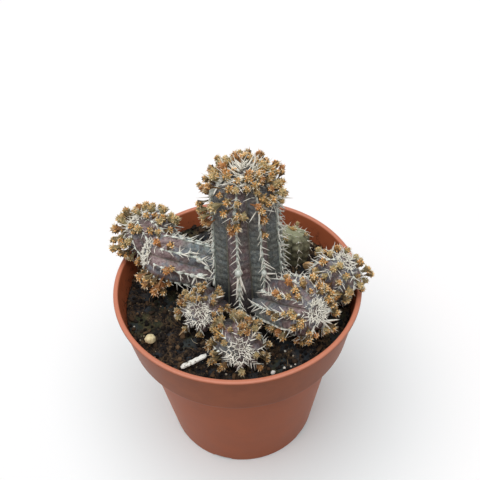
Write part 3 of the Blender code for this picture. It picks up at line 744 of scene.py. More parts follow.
def turned_out(mesh):
    """Merges doubled points and turns every face outwards."""
    bm = bmesh.new()
    bm.from_mesh(mesh)
    bmesh.ops.remove_doubles(bm, verts=bm.verts, dist=1e-7)
    bmesh.ops.recalc_face_normals(bm, faces=bm.faces)
    bm.to_mesh(mesh)
    bm.free()
    return mesh


def settled(obj, slot, *nodes):
    """The finished piece: it rides on the body and stands for its solids. Its slot is not used."""
    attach(obj, BODY)
    if nodes:
        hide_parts(*nodes)
    return obj


def applied(obj, modifier):
    """Makes what a modifier shows into the object's own mesh."""
    depsgraph = bpy.context.evaluated_depsgraph_get()
    made = bpy.data.meshes.new_from_object(obj.evaluated_get(depsgraph), depsgraph=depsgraph)
    obj.modifiers.remove(modifier)
    obj.data = made
    return made


def grown(name, seed_mesh, tree, values):
    """A plain mesh object made by a Geometry Nodes tree from a seed mesh."""
    obj = object_from(name, seed_mesh)
    modifier = obj.modifiers.new(tree.name, "NODES")
    modifier.node_group = tree
    for item in tree.interface.items_tree:
        if item.item_type == "SOCKET" and item.in_out == "INPUT" and item.name in values:
            modifier[item.identifier] = values[item.name]
    made = applied(obj, modifier)
    bpy.data.meshes.remove(seed_mesh)
    made.name = name
    if len(made.polygons) == 0:
        raise RuntimeError(f"{name} came out empty")
    for key in ("turn", "size", "kind", "away", "girth", "phase", "fade", "banding"):
        layer = made.attributes.get(key)
        if layer:
            made.attributes.remove(layer)
    return obj


# --- Geometry Nodes trees ------------------------------------------------------------------------


def new_tree(name, inputs):
    """An empty geometry tree with a Geometry socket each way and these named inputs."""
    tree = bpy.data.node_groups.new(name, "GeometryNodeTree")
    tree.interface.new_socket("Geometry", in_out="INPUT", socket_type="NodeSocketGeometry")
    tree.interface.new_socket("Geometry", in_out="OUTPUT", socket_type="NodeSocketGeometry")
    for label, kind, default in inputs:
        socket = tree.interface.new_socket(label, in_out="INPUT", socket_type=kind)
        if default is not None:
            socket.default_value = default
    graph = Graph(tree)
    source = tree.nodes.new("NodeGroupInput")
    return tree, graph, {output.name: Signal(graph, output) for output in source.outputs if output.name}


def close_tree(graph, geometry, finish, smooth=True):
    """Makes instances real, shades and paints them, and sends them out of the tree."""
    real = graph.node("GeometryNodeRealizeInstances", None, {0: geometry})
    smooth = graph.node("GeometryNodeSetShadeSmooth", None, {0: real, "Shade Smooth": smooth})
    painted = graph.node("GeometryNodeSetMaterial", None, {0: smooth, "Material": finish})
    graph.node("NodeGroupOutput", None, {0: painted})


def named(graph, name, kind="FLOAT"):
    """A named attribute of the mesh, read inside a geometry tree."""
    return graph.node("GeometryNodeInputNamedAttribute", {"data_type": kind}, {"Name": name})


def scatter_tree():
    """Puts one of a collection's shapes on each point, turned, sized and twisted a little."""
    tree, graph, given = new_tree(
        "scatter_shapes",
        [
            ("Shapes", "NodeSocketCollection", None),
            ("Finish", "NodeSocketMaterial", None),
            ("Twist", "NodeSocketFloat", 0.0),
            ("Size Spread", "NodeSocketFloat", 0.0),
            ("Seed", "NodeSocketInt", 0),
            ("Rounded", "NodeSocketBool", True),
        ],
    )
    settings = {"transform_space": "ORIGINAL"}
    sockets = {"Collection": given["Shapes"], "Separate Children": True, "Reset Children": True}
    shapes = graph.node("GeometryNodeCollectionInfo", settings, sockets)
    placed = graph.node(
        "GeometryNodeInstanceOnPoints",
        None,
        {
            "Points": given["Geometry"],
            "Instance": shapes,
            "Pick Instance": True,
            "Instance Index": named(graph, "kind", "INT"),
            "Rotation": named(graph, "turn", "QUATERNION"),
            "Scale": named(graph, "size", "FLOAT_VECTOR"),
        },
    )
    spin_sockets = {2: given["Twist"] * -1.0, 3: given["Twist"], "Seed": given["Seed"]}
    spin = graph.node("FunctionNodeRandomValue", {"data_type": "FLOAT"}, spin_sockets, 1)
    turn = graph.node("ShaderNodeCombineXYZ", None, {2: spin})
    turning = {0: placed, "Rotation": turn, "Local Space": True}
    twisted = graph.node("GeometryNodeRotateInstances", None, turning)
    spread = given["Size Spread"]
    scale_sockets = {2: 1 - spread, 3: 1 + spread, "Seed": given["Seed"] + 1}
    scale = graph.node("FunctionNodeRandomValue", {"data_type": "FLOAT"}, scale_sockets, 1)
    sized = graph.node("GeometryNodeScaleInstances", None, {0: twisted, "Scale": scale, "Local Space": True})
    close_tree(graph, sized, given["Finish"], given["Rounded"])
    return tree


def ribbed_tree():
    """Draws a turned stem in between its ribs and raises the tubercles along them."""
    tree, graph, given = new_tree(
        "ribbed_stem",
        [
            ("Finish", "NodeSocketMaterial", None),
            ("Rib Depth", "NodeSocketFloat", 0.2),
            ("Groove Share", "NodeSocketFloat", 0.14),
            ("Fullness", "NodeSocketFloat", 1.1),
            ("Tubercle Height", "NodeSocketFloat", 0.0004),
            ("Unevenness", "NodeSocketFloat", 0.0005),
            ("Seed", "NodeSocketFloat", 0.0),
        ],
    )
    rib, phase, fade = (named(graph, key) for key in ("rib", "phase", "fade"))
    groove = graph.ramp(rib, 0.86, 1.0)
    fall = (1 - given["Groove Share"]) * rib ** given["Fullness"] + given["Groove Share"] * groove
    depth = named(graph, "girth") * given["Rib Depth"] * fade * fall * -1.0
    away = graph.scaled(named(graph, "away", "FLOAT_VECTOR"), depth)
    drawn = graph.node("GeometryNodeSetPosition", None, {0: given["Geometry"], "Offset": away})
    wave = graph.maths("COSINE", phase * math.tau) * 0.5 + 0.5
    flank = graph.maths("SINE", rib * math.pi)
    where = graph.node("GeometryNodeInputPosition")
    patchy = graph.ramp(graph.noise(where, 0.0110, detail=2, seed=3.0), 0.35, 0.65)
    band = wave * (0.35 + 0.65 * flank) * (1 - rib**6) * named(graph, "banding") * (0.3 + 0.7 * patchy)
    lumps = graph.noise(where, 0.0070, detail=2, seed=given["Seed"])
    lift = given["Tubercle Height"] * band * fade + given["Unevenness"] * (lumps - 0.5)
    outward = graph.scaled(graph.node("GeometryNodeInputNormal"), lift)
    raised = graph.node("GeometryNodeSetPosition", None, {0: drawn, "Offset": outward})
    kept = graph.node(
        "GeometryNodeStoreNamedAttribute",
        {"data_type": "FLOAT", "domain": "POINT"},
        {0: raised, "Name": "band", "Value": band},
    )
    close_tree(graph, kept, given["Finish"])
    return tree


# --- small shapes that are repeated --------------------------------------------------------------


def spine_points(base, direction, length, thickness, sag=0.0):
    """Points, faces and tones of one four-sided tapering spine."""
    along = Vector(direction).normalized()
    across = along.orthogonal().normalized()
    other = along.cross(across)
    points, tones = [], []
    for share, width in ((0.0, 1.0), (0.35, 0.75), (0.78, 0.40)):
        centre = Vector(base) + along * length * share + Vector((0, -sag * share**2, 0))
        for turn in range(4):
            angle = turn * math.pi / 2
            offset = math.cos(angle) * across + math.sin(angle) * other
            points.append(centre + offset * width * thickness / 2)
            tones.append(0.3 + 0.5 * share)
    points.append(Vector(base) + along * length + Vector((0, -sag, 0)))
    tones.append(1.0)
    faces = [(3, 2, 1, 0)]
    for row in (0, 4):
        for j in range(4):
            after = (j + 1) % 4
            faces.append((row + j, row + after, row + 4 + after, row + 4 + j))
    faces += [(8 + j, 8 + (j + 1) % 4, 12) for j in range(4)]
    return points, faces, tones


def shape_from(name, parts, collection):
    """One shape made of several small closed parts, in a collection that nothing shows."""
    points, faces, tones = [], [], []
    for part_points, part_faces, part_tones in parts:
        start = len(points)
        points += part_points
        faces += [tuple(start + i for i in face) for face in part_faces]
        tones += part_tones
    mesh = mesh_from(name, [Vector(p) * MM for p in points], faces, {"tone": ("FLOAT", tones)})
    turned_out(mesh)
    collection.objects.link(bpy.data.objects.new(name, mesh))


def fork(length, thickness, spread, droop, rise, sag=0.3):
    """Two spines that part from one base, in millimetres: Z away from the stem, Y towards its tip."""
    left = spine_points((-0.22, 0, 0.1), (-spread, -droop, rise), length, thickness, sag)
    right = spine_points((0.22, 0, 0.1), (spread, -droop, rise), length * 0.92, thickness, sag)
    return [left, right]


def button(width, long, high, sides=7):
    """A low domed shield, pointed towards the foot of the stem."""
    points = [Vector((0, 0, -0.35))]
    for share, level in ((1.0, -0.15), (0.72, 0.72)):
        for k in range(sides):
            angle = math.tau * k / sides - math.pi / 2
            reach = 1.35 if k == 0 else 1.0
            flat = Vector((math.cos(angle) * width / 2, math.sin(angle) * long / 2 * reach, 0))
            points.append(flat * share)
            points[-1].z = high * level
    points.append(Vector((0, 0, high)))
    last = len(points) - 1
    faces = []
    for k in range(sides):
        after = (k + 1) % sides
        faces.append((0, 1 + after, 1 + k))
        faces.append((1 + k, 1 + after, 1 + sides + after, 1 + sides + k))
        faces.append((1 + sides + k, 1 + sides + after, last))
    return points, faces, [0.0] * len(points)


def spine_shapes():
    """Shields and forks, in the order that kind counts them."""
    made = bpy.data.collections.new("spine_shapes")
    shapes = [
        [button(1.5, 2.6, 0.5)],
        fork(3.9, 0.52, 0.62, 0.52, 0.58),
        fork(3.4, 0.50, 0.80, 0.30, 0.50),
        fork(2.6, 0.60, 0.66, 0.55, 0.46, 0.1),
        [spine_points((0, 0, 0), (0.25, -0.60, 0.75), 4.2, 0.52, 0.5)],
        [spine_points((0, 0, -0.05), (0.0, 0.0, 1.0), 1.0, 1.0)],
        [button(1.5, 2.0, 0.75, 9)],
        fork(4.6, 0.50, 0.66, 0.35, 0.55, 0.2),
    ]
    for number, parts in enumerate(shapes):
        shape_from(f"shape_{number}", parts, made)
    return made


def cup(rings, sides, tones, draw):
    """The closed turned stalk and cup of a flower: rings of (radius, height), a little uneven."""
    points, made = [Vector((0, 0, rings[0][1] - 0.1))], [tones[0]]
    for (radius, height), tone in zip(rings, tones):
        for k in range(sides):
            angle = math.tau * k / sides
            wide = radius * draw.uniform(0.85, 1.15)
            points.append(Vector((wide * math.cos(angle), wide * math.sin(angle), height)))
            made.append(tone)
    points.append(Vector((0, 0, rings[-1][1] + 0.1)))
    made.append(tones[-1])
    return points, tube_faces(len(rings), sides), made


def blunt_scale(centre, out, length, width, thick, tones):
    """A pointed scale that stands out from a flower's side; out is its direction."""
    corners = 3
    across = out.orthogonal().normalized()
    other = out.cross(across)
    points = []
    for k in range(corners):
        angle = math.tau * k / corners
        points.append(centre + across * width * math.cos(angle) + other * thick * math.sin(angle))
    points += [centre + out * length, centre - out * 0.35]
    faces = []
    for k in range(corners):
        after = (k + 1) % corners
        faces += [(k, after, corners), (after, k, corners + 1)]
    return points, faces, [tones[0]] * corners + [tones[1], tones[0]]


def leaning(bend, turn):
    """A direction that leans from upright by bend, towards turn."""
    return Vector((math.sin(bend) * math.cos(turn), math.sin(bend) * math.sin(turn), math.cos(bend)))


def flower(rings, fringe, draw):
    """A cyathium's parts: a turned cup set with rings of blunt glands, and a pale fringe.

    Each ring is its lean from upright in degrees, how many glands, how wide they are and their tone."""
    heart = Vector((0, 0, 1.75))
    rings_of_cup = [(0.28, -3.0), (0.34, -0.4), (0.90, 0.75), (1.30, 1.75), (0.85, 2.7)]
    # The cup's tones are low: its olive is painted dark, as shade in the flower's core.
    parts = [cup(rings_of_cup, 5, (0.16, 0.14, 0.12, 0.16, 0.30), draw)]
    for lean, count, wide, tone in rings:
        start = draw.random() * math.tau
        for k in range(count):
            angle = start + math.tau * (k + 0.35 * draw.random()) / count
            bend = math.radians(lean + draw.uniform(-11, 11))
            out = leaning(bend, angle)
            width = wide * draw.uniform(0.75, 1.1)
            own = tone + draw.uniform(-0.38, 0.34)
            length = draw.uniform(0.40, 0.85)
            tones = (own - 0.10, own + 0.06)
            parts.append(blunt_scale(heart + out * 1.15, out, length, width, width * 0.8, tones))
    for k in range(fringe):
        angle = math.tau * draw.random()
        bend = math.radians(draw.uniform(15, 85))
        out = leaning(bend, angle)
        parts.append(blunt_scale(heart + out * 1.2, out, draw.uniform(0.8, 1.4), 0.22, 0.22, (0.92, 1.0)))
    return parts


def cyathium_shapes():
    """Three open cyathia, a half-open one, a bud and a spent one, as kind counts them."""
    made = bpy.data.collections.new("cyathium_shapes")
    draw = np.random.default_rng(8)
    ages = [
        ([(18, 3, 0.44, 0.66), (52, 7, 0.52, 0.62), (88, 7, 0.48, 0.46)], 5),
        ([(16, 3, 0.48, 0.72), (48, 6, 0.56, 0.62), (84, 7, 0.50, 0.44)], 6),
        ([(22, 4, 0.42, 0.62), (60, 8, 0.50, 0.58), (96, 6, 0.46, 0.42)], 5),
        ([(24, 4, 0.50, 0.54), (64, 7, 0.54, 0.48), (98, 5, 0.46, 0.34)], 6),
        ([(30, 4, 0.52, 0.46), (70, 6, 0.54, 0.36)], 3),
        ([(26, 4, 0.46, 0.38), (62, 6, 0.52, 0.52), (92, 5, 0.46, 0.36)], 8),
    ]
    for number, (rings, fringe) in enumerate(ages):
        shape_from(f"shape_{number}", flower(rings, fringe, draw), made)
    return made


def crumb_shapes():
    """Lumps, a flat chip and a bent fibre, each one millimetre across before it is sized."""
    made = bpy.data.collections.new("crumb_shapes")
    for number in range(3):
        bm = bmesh.new()
        bmesh.ops.create_icosphere(bm, subdivisions=2 if number == 2 else 1, radius=0.5)
        for vertex in bm.verts:
            vertex.co *= 1 + 0.55 * noise(vertex.co * 2.3 + Vector((number * 7.1, 1.3, 4.4)))
        points = [vertex.co.copy() for vertex in bm.verts]
        faces = [tuple(vertex.index for vertex in face.verts) for face in bm.faces]
        bm.free()
        shape_from(f"shape_{number}", [(points, faces, [0.0] * len(points))], made)
    chip = [(-0.6, -0.3, 0), (0.5, -0.4, 0.05), (0.7, 0.1, 0), (0.2, 0.45, -0.05), (-0.5, 0.3, 0.05)]
    top = [(x * 0.9, y * 0.85, z + 0.22) for x, y, z in chip]
    points = [Vector(p) for p in chip + top]
    faces = [(4, 3, 2, 1, 0), (5, 6, 7, 8, 9)]
    faces += [(k, (k + 1) % 5, 5 + (k + 1) % 5, 5 + k) for k in range(5)]
    shape_from("shape_3", [(points, faces, [0.0] * 10)], made)
    for number, curl in ((4, 0.5), (5, -0.9)):
        points = []
        for step in range(6):
            share = step / 5 - 0.5
            middle = Vector((share * 2, curl * (share**2 - 0.1), 0.15 * math.sin(step * 1.7 + number)))
            width = 0.055 * (1 - 0.5 * abs(share))
            points += [middle + Vector((0, math.cos(a), math.sin(a))) * width for a in (0.5, 2.6, 4.7)]
        faces = [(2, 1, 0), (15, 16, 17)]
        for row in range(0, 15, 3):
            faces += [(row + k, row + (k + 1) % 3, row + 3 + (k + 1) % 3, row + 3 + k) for k in range(3)]
        shape_from(f"shape_{number}", [(points, faces, [0.0] * 18)], made)
    return made


def discard(collection):
    """Removes a collection of shapes once nothing is made of them any more."""
    for obj in list(collection.objects):
        bpy.data.objects.remove(obj, do_unlink=True)
    bpy.data.collections.remove(collection)


class Sprinkle:
    """Points for the scatter tree, each with its turn, size, kind of shape and shade."""

    def __init__(self):
        self.places, self.turns, self.sizes, self.kinds, self.shades = [], [], [], [], []

    def add(self, place, turn, size, kind, shade):
        self.places.append(place)
        self.turns.append(turn)
        self.sizes.append(size if hasattr(size, "__len__") else (size, size, size))
        self.kinds.append(kind)
        self.shades.append(shade)

    def mesh(self, name):
        attributes = {
            "turn": ("QUATERNION", [tuple(turn) for turn in self.turns]),
            "size": ("FLOAT_VECTOR", self.sizes),
            "kind": ("INT", self.kinds),
            "shade": ("FLOAT", self.shades),
        }
        return mesh_from(name, self.places, [], attributes, smooth=False)


# --- stems as a rule -----------------------------------------------------------------------------


class Stem:
    """A stem's straight axis, the rule of its girth, and the steps between the shields on its ribs."""

    def __init__(self, name, foot, tip, foot_radius, radius, ribs, turn):
        look = bpy.context.scene.euphorbia_stems
        self.name = name
        self.habit = HABITS[name]
        self.foot = Vector(foot) * MM
        self.tip = Vector(tip) * MM
        self.radius = radius * MM
        self.ribs = ribs
        turns = RIB_TURNS.get(name) or [turn + 360 * k / ribs for k in range(ribs)]
        self.crests = np.radians([*turns, turns[0] + 360])
        self.length = (self.tip - self.foot).length
        self.along = (self.tip - self.foot).normalized()
        toward = Vector((0, -1, 0)) if abs(self.along.z) > 0.98 else Vector((0, 0, -1))
        self.across = (toward - toward.dot(self.along) * self.along).normalized()
        self.up = self.along.cross(self.across)
        self.dome = DOME_SHARE * self.radius
        bend = np.linspace(0.0, math.pi / 2, 200)
        share = np.linspace(0.0, 1.0, 500)[1:]
        straight = self.length - self.dome
        self.depths = np.concatenate([self.dome * (1 - np.cos(bend)), self.dome + straight * share])
        grown_out = self.radius + (foot_radius * MM - self.radius) * share**1.6
        self.girths = np.concatenate([self.radius * np.sin(bend), grown_out])
        steps = np.hypot(np.diff(self.depths), np.diff(self.girths))
        self.arcs = np.concatenate([[0.0], np.cumsum(steps)])
        self.fall = np.gradient(self.depths, self.arcs)
        self.widen = np.gradient(self.girths, self.arcs)
        scale = min(1.0, self.radius / GROWN_RADIUS)
        old = self.habit.pitch * MM
        pitch = old - (old - look.young_pitch) * np.exp(-self.arcs / (look.pitch_reach * scale))
        self.phases = np.concatenate([[0.0], np.cumsum(steps / pitch[1:])])

    def direction(self, angle):
        return math.cos(angle) * self.across + math.sin(angle) * self.up

    def rib_angle(self, rib):
        """The turn of a rib's crest. A rib of 2.5 is halfway between the crests of 2 and 3."""
        return float(np.interp(rib % self.ribs, np.arange(self.ribs + 1), self.crests))

    def axes(self, arc, angle):
        """Sideways, towards the tip, and away from the surface, at a place on the stem."""
        fall = float(np.interp(arc, self.arcs, self.fall))
        widen = float(np.interp(arc, self.arcs, self.widen))
        radial = self.direction(angle)
        outward = (fall * radial + widen * self.along).normalized()
        side = self.direction(angle + math.pi / 2)
        return side, outward.cross(side).normalized(), outward

    def point(self, arc, angle, lift=0.0):
        depth = float(np.interp(arc, self.arcs, self.depths))
        girth = float(np.interp(arc, self.arcs, self.girths))
        place = self.tip - depth * self.along + girth * self.direction(angle)
        return place + lift * self.axes(arc, angle)[2] if lift else place

    def distance(self, point):
        """How far a point is from the surface, about; negative inside."""
        depth = min(max((self.tip - point).dot(self.along), self.dome), self.length)
        girth = float(np.interp(depth, self.depths, self.girths))
        return (point - (self.tip - depth * self.along)).length - girth

    def shield_arcs(self, rib):
        """Where the shields stand on one rib, measured over the surface from the tip."""
        start = RIB_STAGGER * rib % 1.0
        counts = np.arange(0, int(self.phases[-1]) + 1) + start
        return np.interp(counts[counts < self.phases[-1]], self.phases, self.arcs)

    def surface(self):
        """The smooth turned form of the stem, with what the ribbed tree needs at every point."""
        columns = self.ribs * RIB_COLUMNS
        rows = int(self.arcs[-1] / ROW_STEP)
        arcs = np.linspace(0.0, self.arcs[-1], rows + 1)[1:]
        place = np.arange(columns) / RIB_COLUMNS
        angles = np.interp(place, np.arange(self.ribs + 1), self.crests)
        nearest = np.round(place)
        rib = np.abs(place - nearest) * 2
        start = (RIB_STAGGER * (nearest % self.ribs)) % 1.0
        depth = np.interp(arcs, self.arcs, self.depths)
        girth = np.interp(arcs, self.arcs, self.girths)
        phase = np.interp(arcs, self.arcs, self.phases)
        turned = np.cos(angles)[:, None] * np.array(self.across)
        turned = turned + np.sin(angles)[:, None] * np.array(self.up)
        centre = np.array(self.tip) - depth[:, None] * np.array(self.along)
        points = centre[:, None, :] + girth[:, None, None] * turned[None, :, :]
        grid = np.ones((rows, columns))
        fade = np.clip(arcs / (0.9 * self.dome), 0, 1) ** 0.7

        def spread(values, first, last):
            return np.concatenate([[first], (values * grid).ravel(), [last]])

        foot = np.array(self.tip) - depth[-1] * np.array(self.along)
        nowhere = [(0, 0, 0)]
        away = np.broadcast_to(turned, (rows, columns, 3)).reshape(-1, 3)
        flank = (2 * nearest + (place > nearest)) % (2 * self.ribs)
        flush = self.habit.flush + 0.4 * np.sin(flank * 12.9)
        if self.name == MAIN:
            flush = np.array(MAIN_FLUSH)[flank.astype(int)]
        attributes = {
            "away": ("FLOAT_VECTOR", np.concatenate([nowhere, away, nowhere])),
            "girth": ("FLOAT", spread(girth[:, None], 0, girth[-1])),
            "rib": ("FLOAT", spread(rib[None, :], 0.5, 0.5)),
            "phase": ("FLOAT", spread(phase[:, None] - start[None, :] - 0.10 * rib[None, :], 0, 0)),
            "fade": ("FLOAT", spread(fade[:, None], 0, 1)),
            "arc": ("FLOAT", spread(arcs[:, None], 0, arcs[-1])),
            "flush": ("FLOAT", spread(flush[None, :], 0.5, 0.5)),
            "banding": ("FLOAT", spread(1.0 - 0.65 * np.clip(flush, 0, 1)[None, :], 0, 0)),
            "cork": ("FLOAT", spread(self.habit.cork, 0, 0)),
            "wax": ("FLOAT", spread(self.habit.wax, self.habit.wax, 0)),
        }
        everything = np.concatenate([[np.array(self.tip)], points.reshape(-1, 3), [foot]])
        return mesh_from(self.name + "_seed", everything, tube_faces(rows, columns), attributes)


def all_stems():
    """Every stem, the main one first."""
    return [Stem(*row) for row in STEMS]


def collar_radius(z):
    """Outer radius of the collar at this height."""
    low, high = POT_HEIGHT - COLLAR_HEIGHT, POT_HEIGHT - LIP_HEIGHT
    return COLLAR_BOTTOM_RADIUS + (z - low) / (high - low) * (COLLAR_TOP_RADIUS - COLLAR_BOTTOM_RADIUS)


def body_radius(z):
    """Outer radius of the pot below its collar, at this height."""
    return FOOT_RADIUS + z / (POT_HEIGHT - COLLAR_HEIGHT) * (BODY_TOP_RADIUS - FOOT_RADIUS)


def soil_height(x, y):
    """Height of the soil's mounded, lumpy top."""
    share = min(1.0, math.hypot(x, y) / COLLAR_BOTTOM_RADIUS)
    lumps = noise(Vector((x * 90, y * 90, 3.7))) + 0.5 * noise(Vector((x * 210, y * 210, 8.1)))
    off_x, off_y = x - SOIL_HEAP_AT[0], y - SOIL_HEAP_AT[1]
    heap = SOIL_HEAP * math.exp(-(off_x**2 + off_y**2) / SOIL_HEAP_SPREAD**2)
    return SOIL_LEVEL + SOIL_MOUND * (1 - share**2) + SOIL_LUMPS * lumps + heap


def clear_of(point, room, others):
    """True where a point stays off the other stems, the soil and the pot's wall."""
    if any(other.distance(point) < room for other in others):
        return False
    if point.z < soil_height(point.x, point.y) + room * 0.5:
        return False
    return point.z > POT_HEIGHT + room or math.hypot(point.x, point.y) < RIM_RADIUS - LIP_WIDTH - room


# --- settings ------------------------------------------------------------------------------------


class PotSettings(bpy.types.PropertyGroup):
    colour: FloatVectorProperty(
        name="Plastic", description="Colour of the pot", default=(0.375, 0.102, 0.038), **SWATCH
    )
    segments: IntProperty(name="Segments", description="Sides of the pot", default=160, min=48, max=256)


class SoilSettings(bpy.types.PropertyGroup):
    colour: FloatVectorProperty(
        name="Peat", description="Colour of the soil", default=(0.012, 0.011, 0.012), **SWATCH
    )
    crumbs: IntProperty(name="Crumbs", description="Loose crumbs on the soil", default=2600, min=0, max=4000)
    fibres: IntProperty(name="Fibres", description="Loose fibres on the soil", default=110, min=0, max=2000)
    grain: FloatProperty(
        name="Grain", description="Height of the fine grain", default=0.0006, unit="LENGTH", min=0, max=0.002
    )
    seed: IntProperty(name="Seed", description="Seed of the scatter", default=11)


class StemSettings(bpy.types.PropertyGroup):
    colour: FloatVectorProperty(
        name="Skin", description="Grey-green of the skin", default=(0.185, 0.205, 0.190), **SWATCH
    )
    flush: FloatVectorProperty(
        name="Flush", description="Purple of the skin", default=(0.250, 0.145, 0.150), **SWATCH
    )
    rib_depth: FloatProperty(
        name="Rib Depth", description="Furrow's depth as a share of the girth", default=0.22, min=0, max=0.4
    )
    tubercle: FloatProperty(
        name="Tubercle", description="Height of a tubercle", default=0.0004, unit="LENGTH", min=0, max=0.002
    )
    unevenness: FloatProperty(
        name="Unevenness", description="Swelling of the skin", default=0.0007, unit="LENGTH", min=0, max=0.002
    )
    young_pitch: FloatProperty(
        name="Young Pitch", description="Shield step at the tip", default=0.0009, unit="LENGTH", min=0.0005
    )
    pitch_reach: FloatProperty(
        name="Pitch Reach", description="How soon the step is full-grown", default=0.012, unit="LENGTH"
    )


class SpineSettings(bpy.types.PropertyGroup):
    colour: FloatVectorProperty(
        name="Spines", description="Bone white of the spines", default=(0.98, 0.95, 0.85), **SWATCH
    )
    length: FloatProperty(name="Length", description="Scale of the spines", default=1.0, min=0.2, max=2)
    seed: IntProperty(name="Seed", description="Seed of the spines' spread", default=5)


class CyathiumSettings(bpy.types.PropertyGroup):
    colour: FloatVectorProperty(
        name="Glands", description="Rusty orange of the flowers", default=(0.940, 0.480, 0.150), **SWATCH
    )
    crowding: FloatProperty(
        name="Crowding", description="How close the flowers stand", default=1.0, min=0.3, max=3
    )
    seed: IntProperty(name="Seed", description="Seed of the flowers' spread", default=3)


class StageSettings(bpy.types.PropertyGroup):
    floor: FloatVectorProperty(
        name="Floor", description="Colour of the floor", default=(0.994, 0.978, 0.981), **SWATCH
    )
    sky: FloatProperty(name="Sky", description="Strength of the even light", default=0.17, min=0)
    lamp: FloatProperty(name="Lamp", description="Strength of the overhead light", default=2.78, min=0)
    lens: FloatProperty(name="Lens", description="Focal length in millimetres", default=52.9375, min=10)


# --- pot and soil --------------------------------------------------------------------------------


def rounded(corners):
    """A profile whose (radius, height, rounding) corners become short curves."""
    steps = 3
    made = []
    for i, (radius, height, rounding) in enumerate(corners):
        here = Vector((radius, height))
        if rounding == 0 or i in (0, len(corners) - 1):
            made.append(here)
            continue
        before = Vector(corners[i - 1][:2]) - here
        after = Vector(corners[i + 1][:2]) - here
        cut = min(rounding, before.length * 0.45, after.length * 0.45)
        start, end = here + before.normalized() * cut, here + after.normalized() * cut
        if before.length > 4 * cut:
            made.append(here + before.normalized() * cut * 1.8)
        for step in range(steps + 1):
            share = step / steps
            made.append(start * (1 - share) ** 2 + here * 2 * share * (1 - share) + end * share**2)
        if after.length > 4 * cut:
            made.append(here + after.normalized() * cut * 1.8)
    return made


def pot_profile():
    """The corners of the turned pot as (radius, height, rounding), from the underside's middle."""
    step = POT_HEIGHT - COLLAR_HEIGHT
    lip = POT_HEIGHT - LIP_HEIGHT
    ring_inner = FOOT_RADIUS - FOOT_RING_WIDTH
    inner_lip = RIM_RADIUS - LIP_WIDTH
    return [
        (0, 0, 0),
        (BOSS_RADIUS, 0, 0.0003),
        (BOSS_RADIUS + 0.0008, FLOOR_UNDERSIDE, 0.0003),
        (ring_inner - 0.0008, FLOOR_UNDERSIDE, 0.0003),
        (ring_inner, 0, 0.0003),
        (FOOT_RADIUS, 0, 0.0008),
        (body_radius(step), step, 0.0006),
        (COLLAR_BOTTOM_RADIUS, step, 0.0009),
        (COLLAR_TOP_RADIUS, lip, 0.0004),
        (RIM_RADIUS, lip, 0.0003),
        (RIM_RADIUS, POT_HEIGHT, 0.0007),
        (inner_lip, POT_HEIGHT, 0.0006),
        (collar_radius(step + 0.004) - WALL, step + 0.004, 0.0015),
        (body_radius(step) - WALL, step - WALL, 0.0015),
        (body_radius(FLOOR_TOP) - WALL, FLOOR_TOP, 0.0012),
        (0, FLOOR_TOP, 0),
    ]


def drain_cutter():
    """Round drain holes, and a notch across the foot ring beside each of them."""
    bm = bmesh.new()
    for k in range(DRAIN_COUNT):
        angle = math.radians(DRAIN_TURN) + math.tau * k / DRAIN_COUNT
        out = Vector((math.cos(angle), math.sin(angle), 0))
        side = Vector((-out.y, out.x, 0))
        middle = out * DRAIN_CIRCLE + Vector((0, 0, (FLOOR_TOP + FLOOR_UNDERSIDE) / 2))
        bmesh.ops.create_cone(
            bm,
            cap_ends=True,
            segments=28,
            radius1=DRAIN_RADIUS,
            radius2=DRAIN_RADIUS,
            depth=FLOOR_TOP - FLOOR_UNDERSIDE + 0.004,
            matrix=Matrix.Translation(middle),
        )
        near, far = FOOT_RADIUS - FOOT_RING_WIDTH - 0.002, FOOT_RADIUS + 0.003
        loops = []
        half_width = NOTCH_WIDTH / 2
        for z, half in ((-0.002, half_width), (FLOOR_UNDERSIDE - 0.0001, half_width - 0.0009)):
            square = [(near, -half), (far, -half), (far, half), (near, half)]
            loops.append([bm.verts.new(a * out + b * side + Vector((0, 0, z))) for a, b in square])
        for loop in loops:
            bm.faces.new(loop)
        for i in range(4):
            j = (i + 1) % 4
            bm.faces.new((loops[0][i], loops[0][j], loops[1][j], loops[1][i]))
    bmesh.ops.recalc_face_normals(bm, faces=bm.faces)
    mesh = bpy.data.meshes.new("drain_cutter")
    bm.to_mesh(mesh)
    bm.free()
    return object_from("drain_cutter", mesh)


class EUPHORBIA_OT_pot(bpy.types.Operator):
    """Build the turned nursery pot with its drain holes"""

    bl_idname = "euphorbia.pot"
    bl_label = "Pot"

    def execute(self, context):
        look = context.scene.euphorbia_pot
        first, *rings, last = rounded(pot_profile())
        points = [(0, 0, first.y)]
        for ring in rings:
            points += circle(ring.x, ring.y, look.segments)
        points.append((0, 0, last.y))
        shell = mesh_from("pot_shell", points, tube_faces(len(rings), look.segments))
        obj = object_from("pot_shell", turned_out(shell))
        cutter = drain_cutter()
        modifier = obj.modifiers.new("drains", "BOOLEAN")
        modifier.operation = "DIFFERENCE"
        modifier.solver = "EXACT"
        modifier.object = cutter
        cut = applied(obj, modifier)
        bpy.data.objects.remove(cutter, do_unlink=True)
        cut.shade_smooth()
        cut.set_sharp_from_angle(angle=math.radians(40))
        cut.materials.clear()
        cut.materials.append(terracotta_plastic(tuple(look.colour)))
        settled(obj, "terracotta_plastic", "pot")
        return {"FINISHED"}


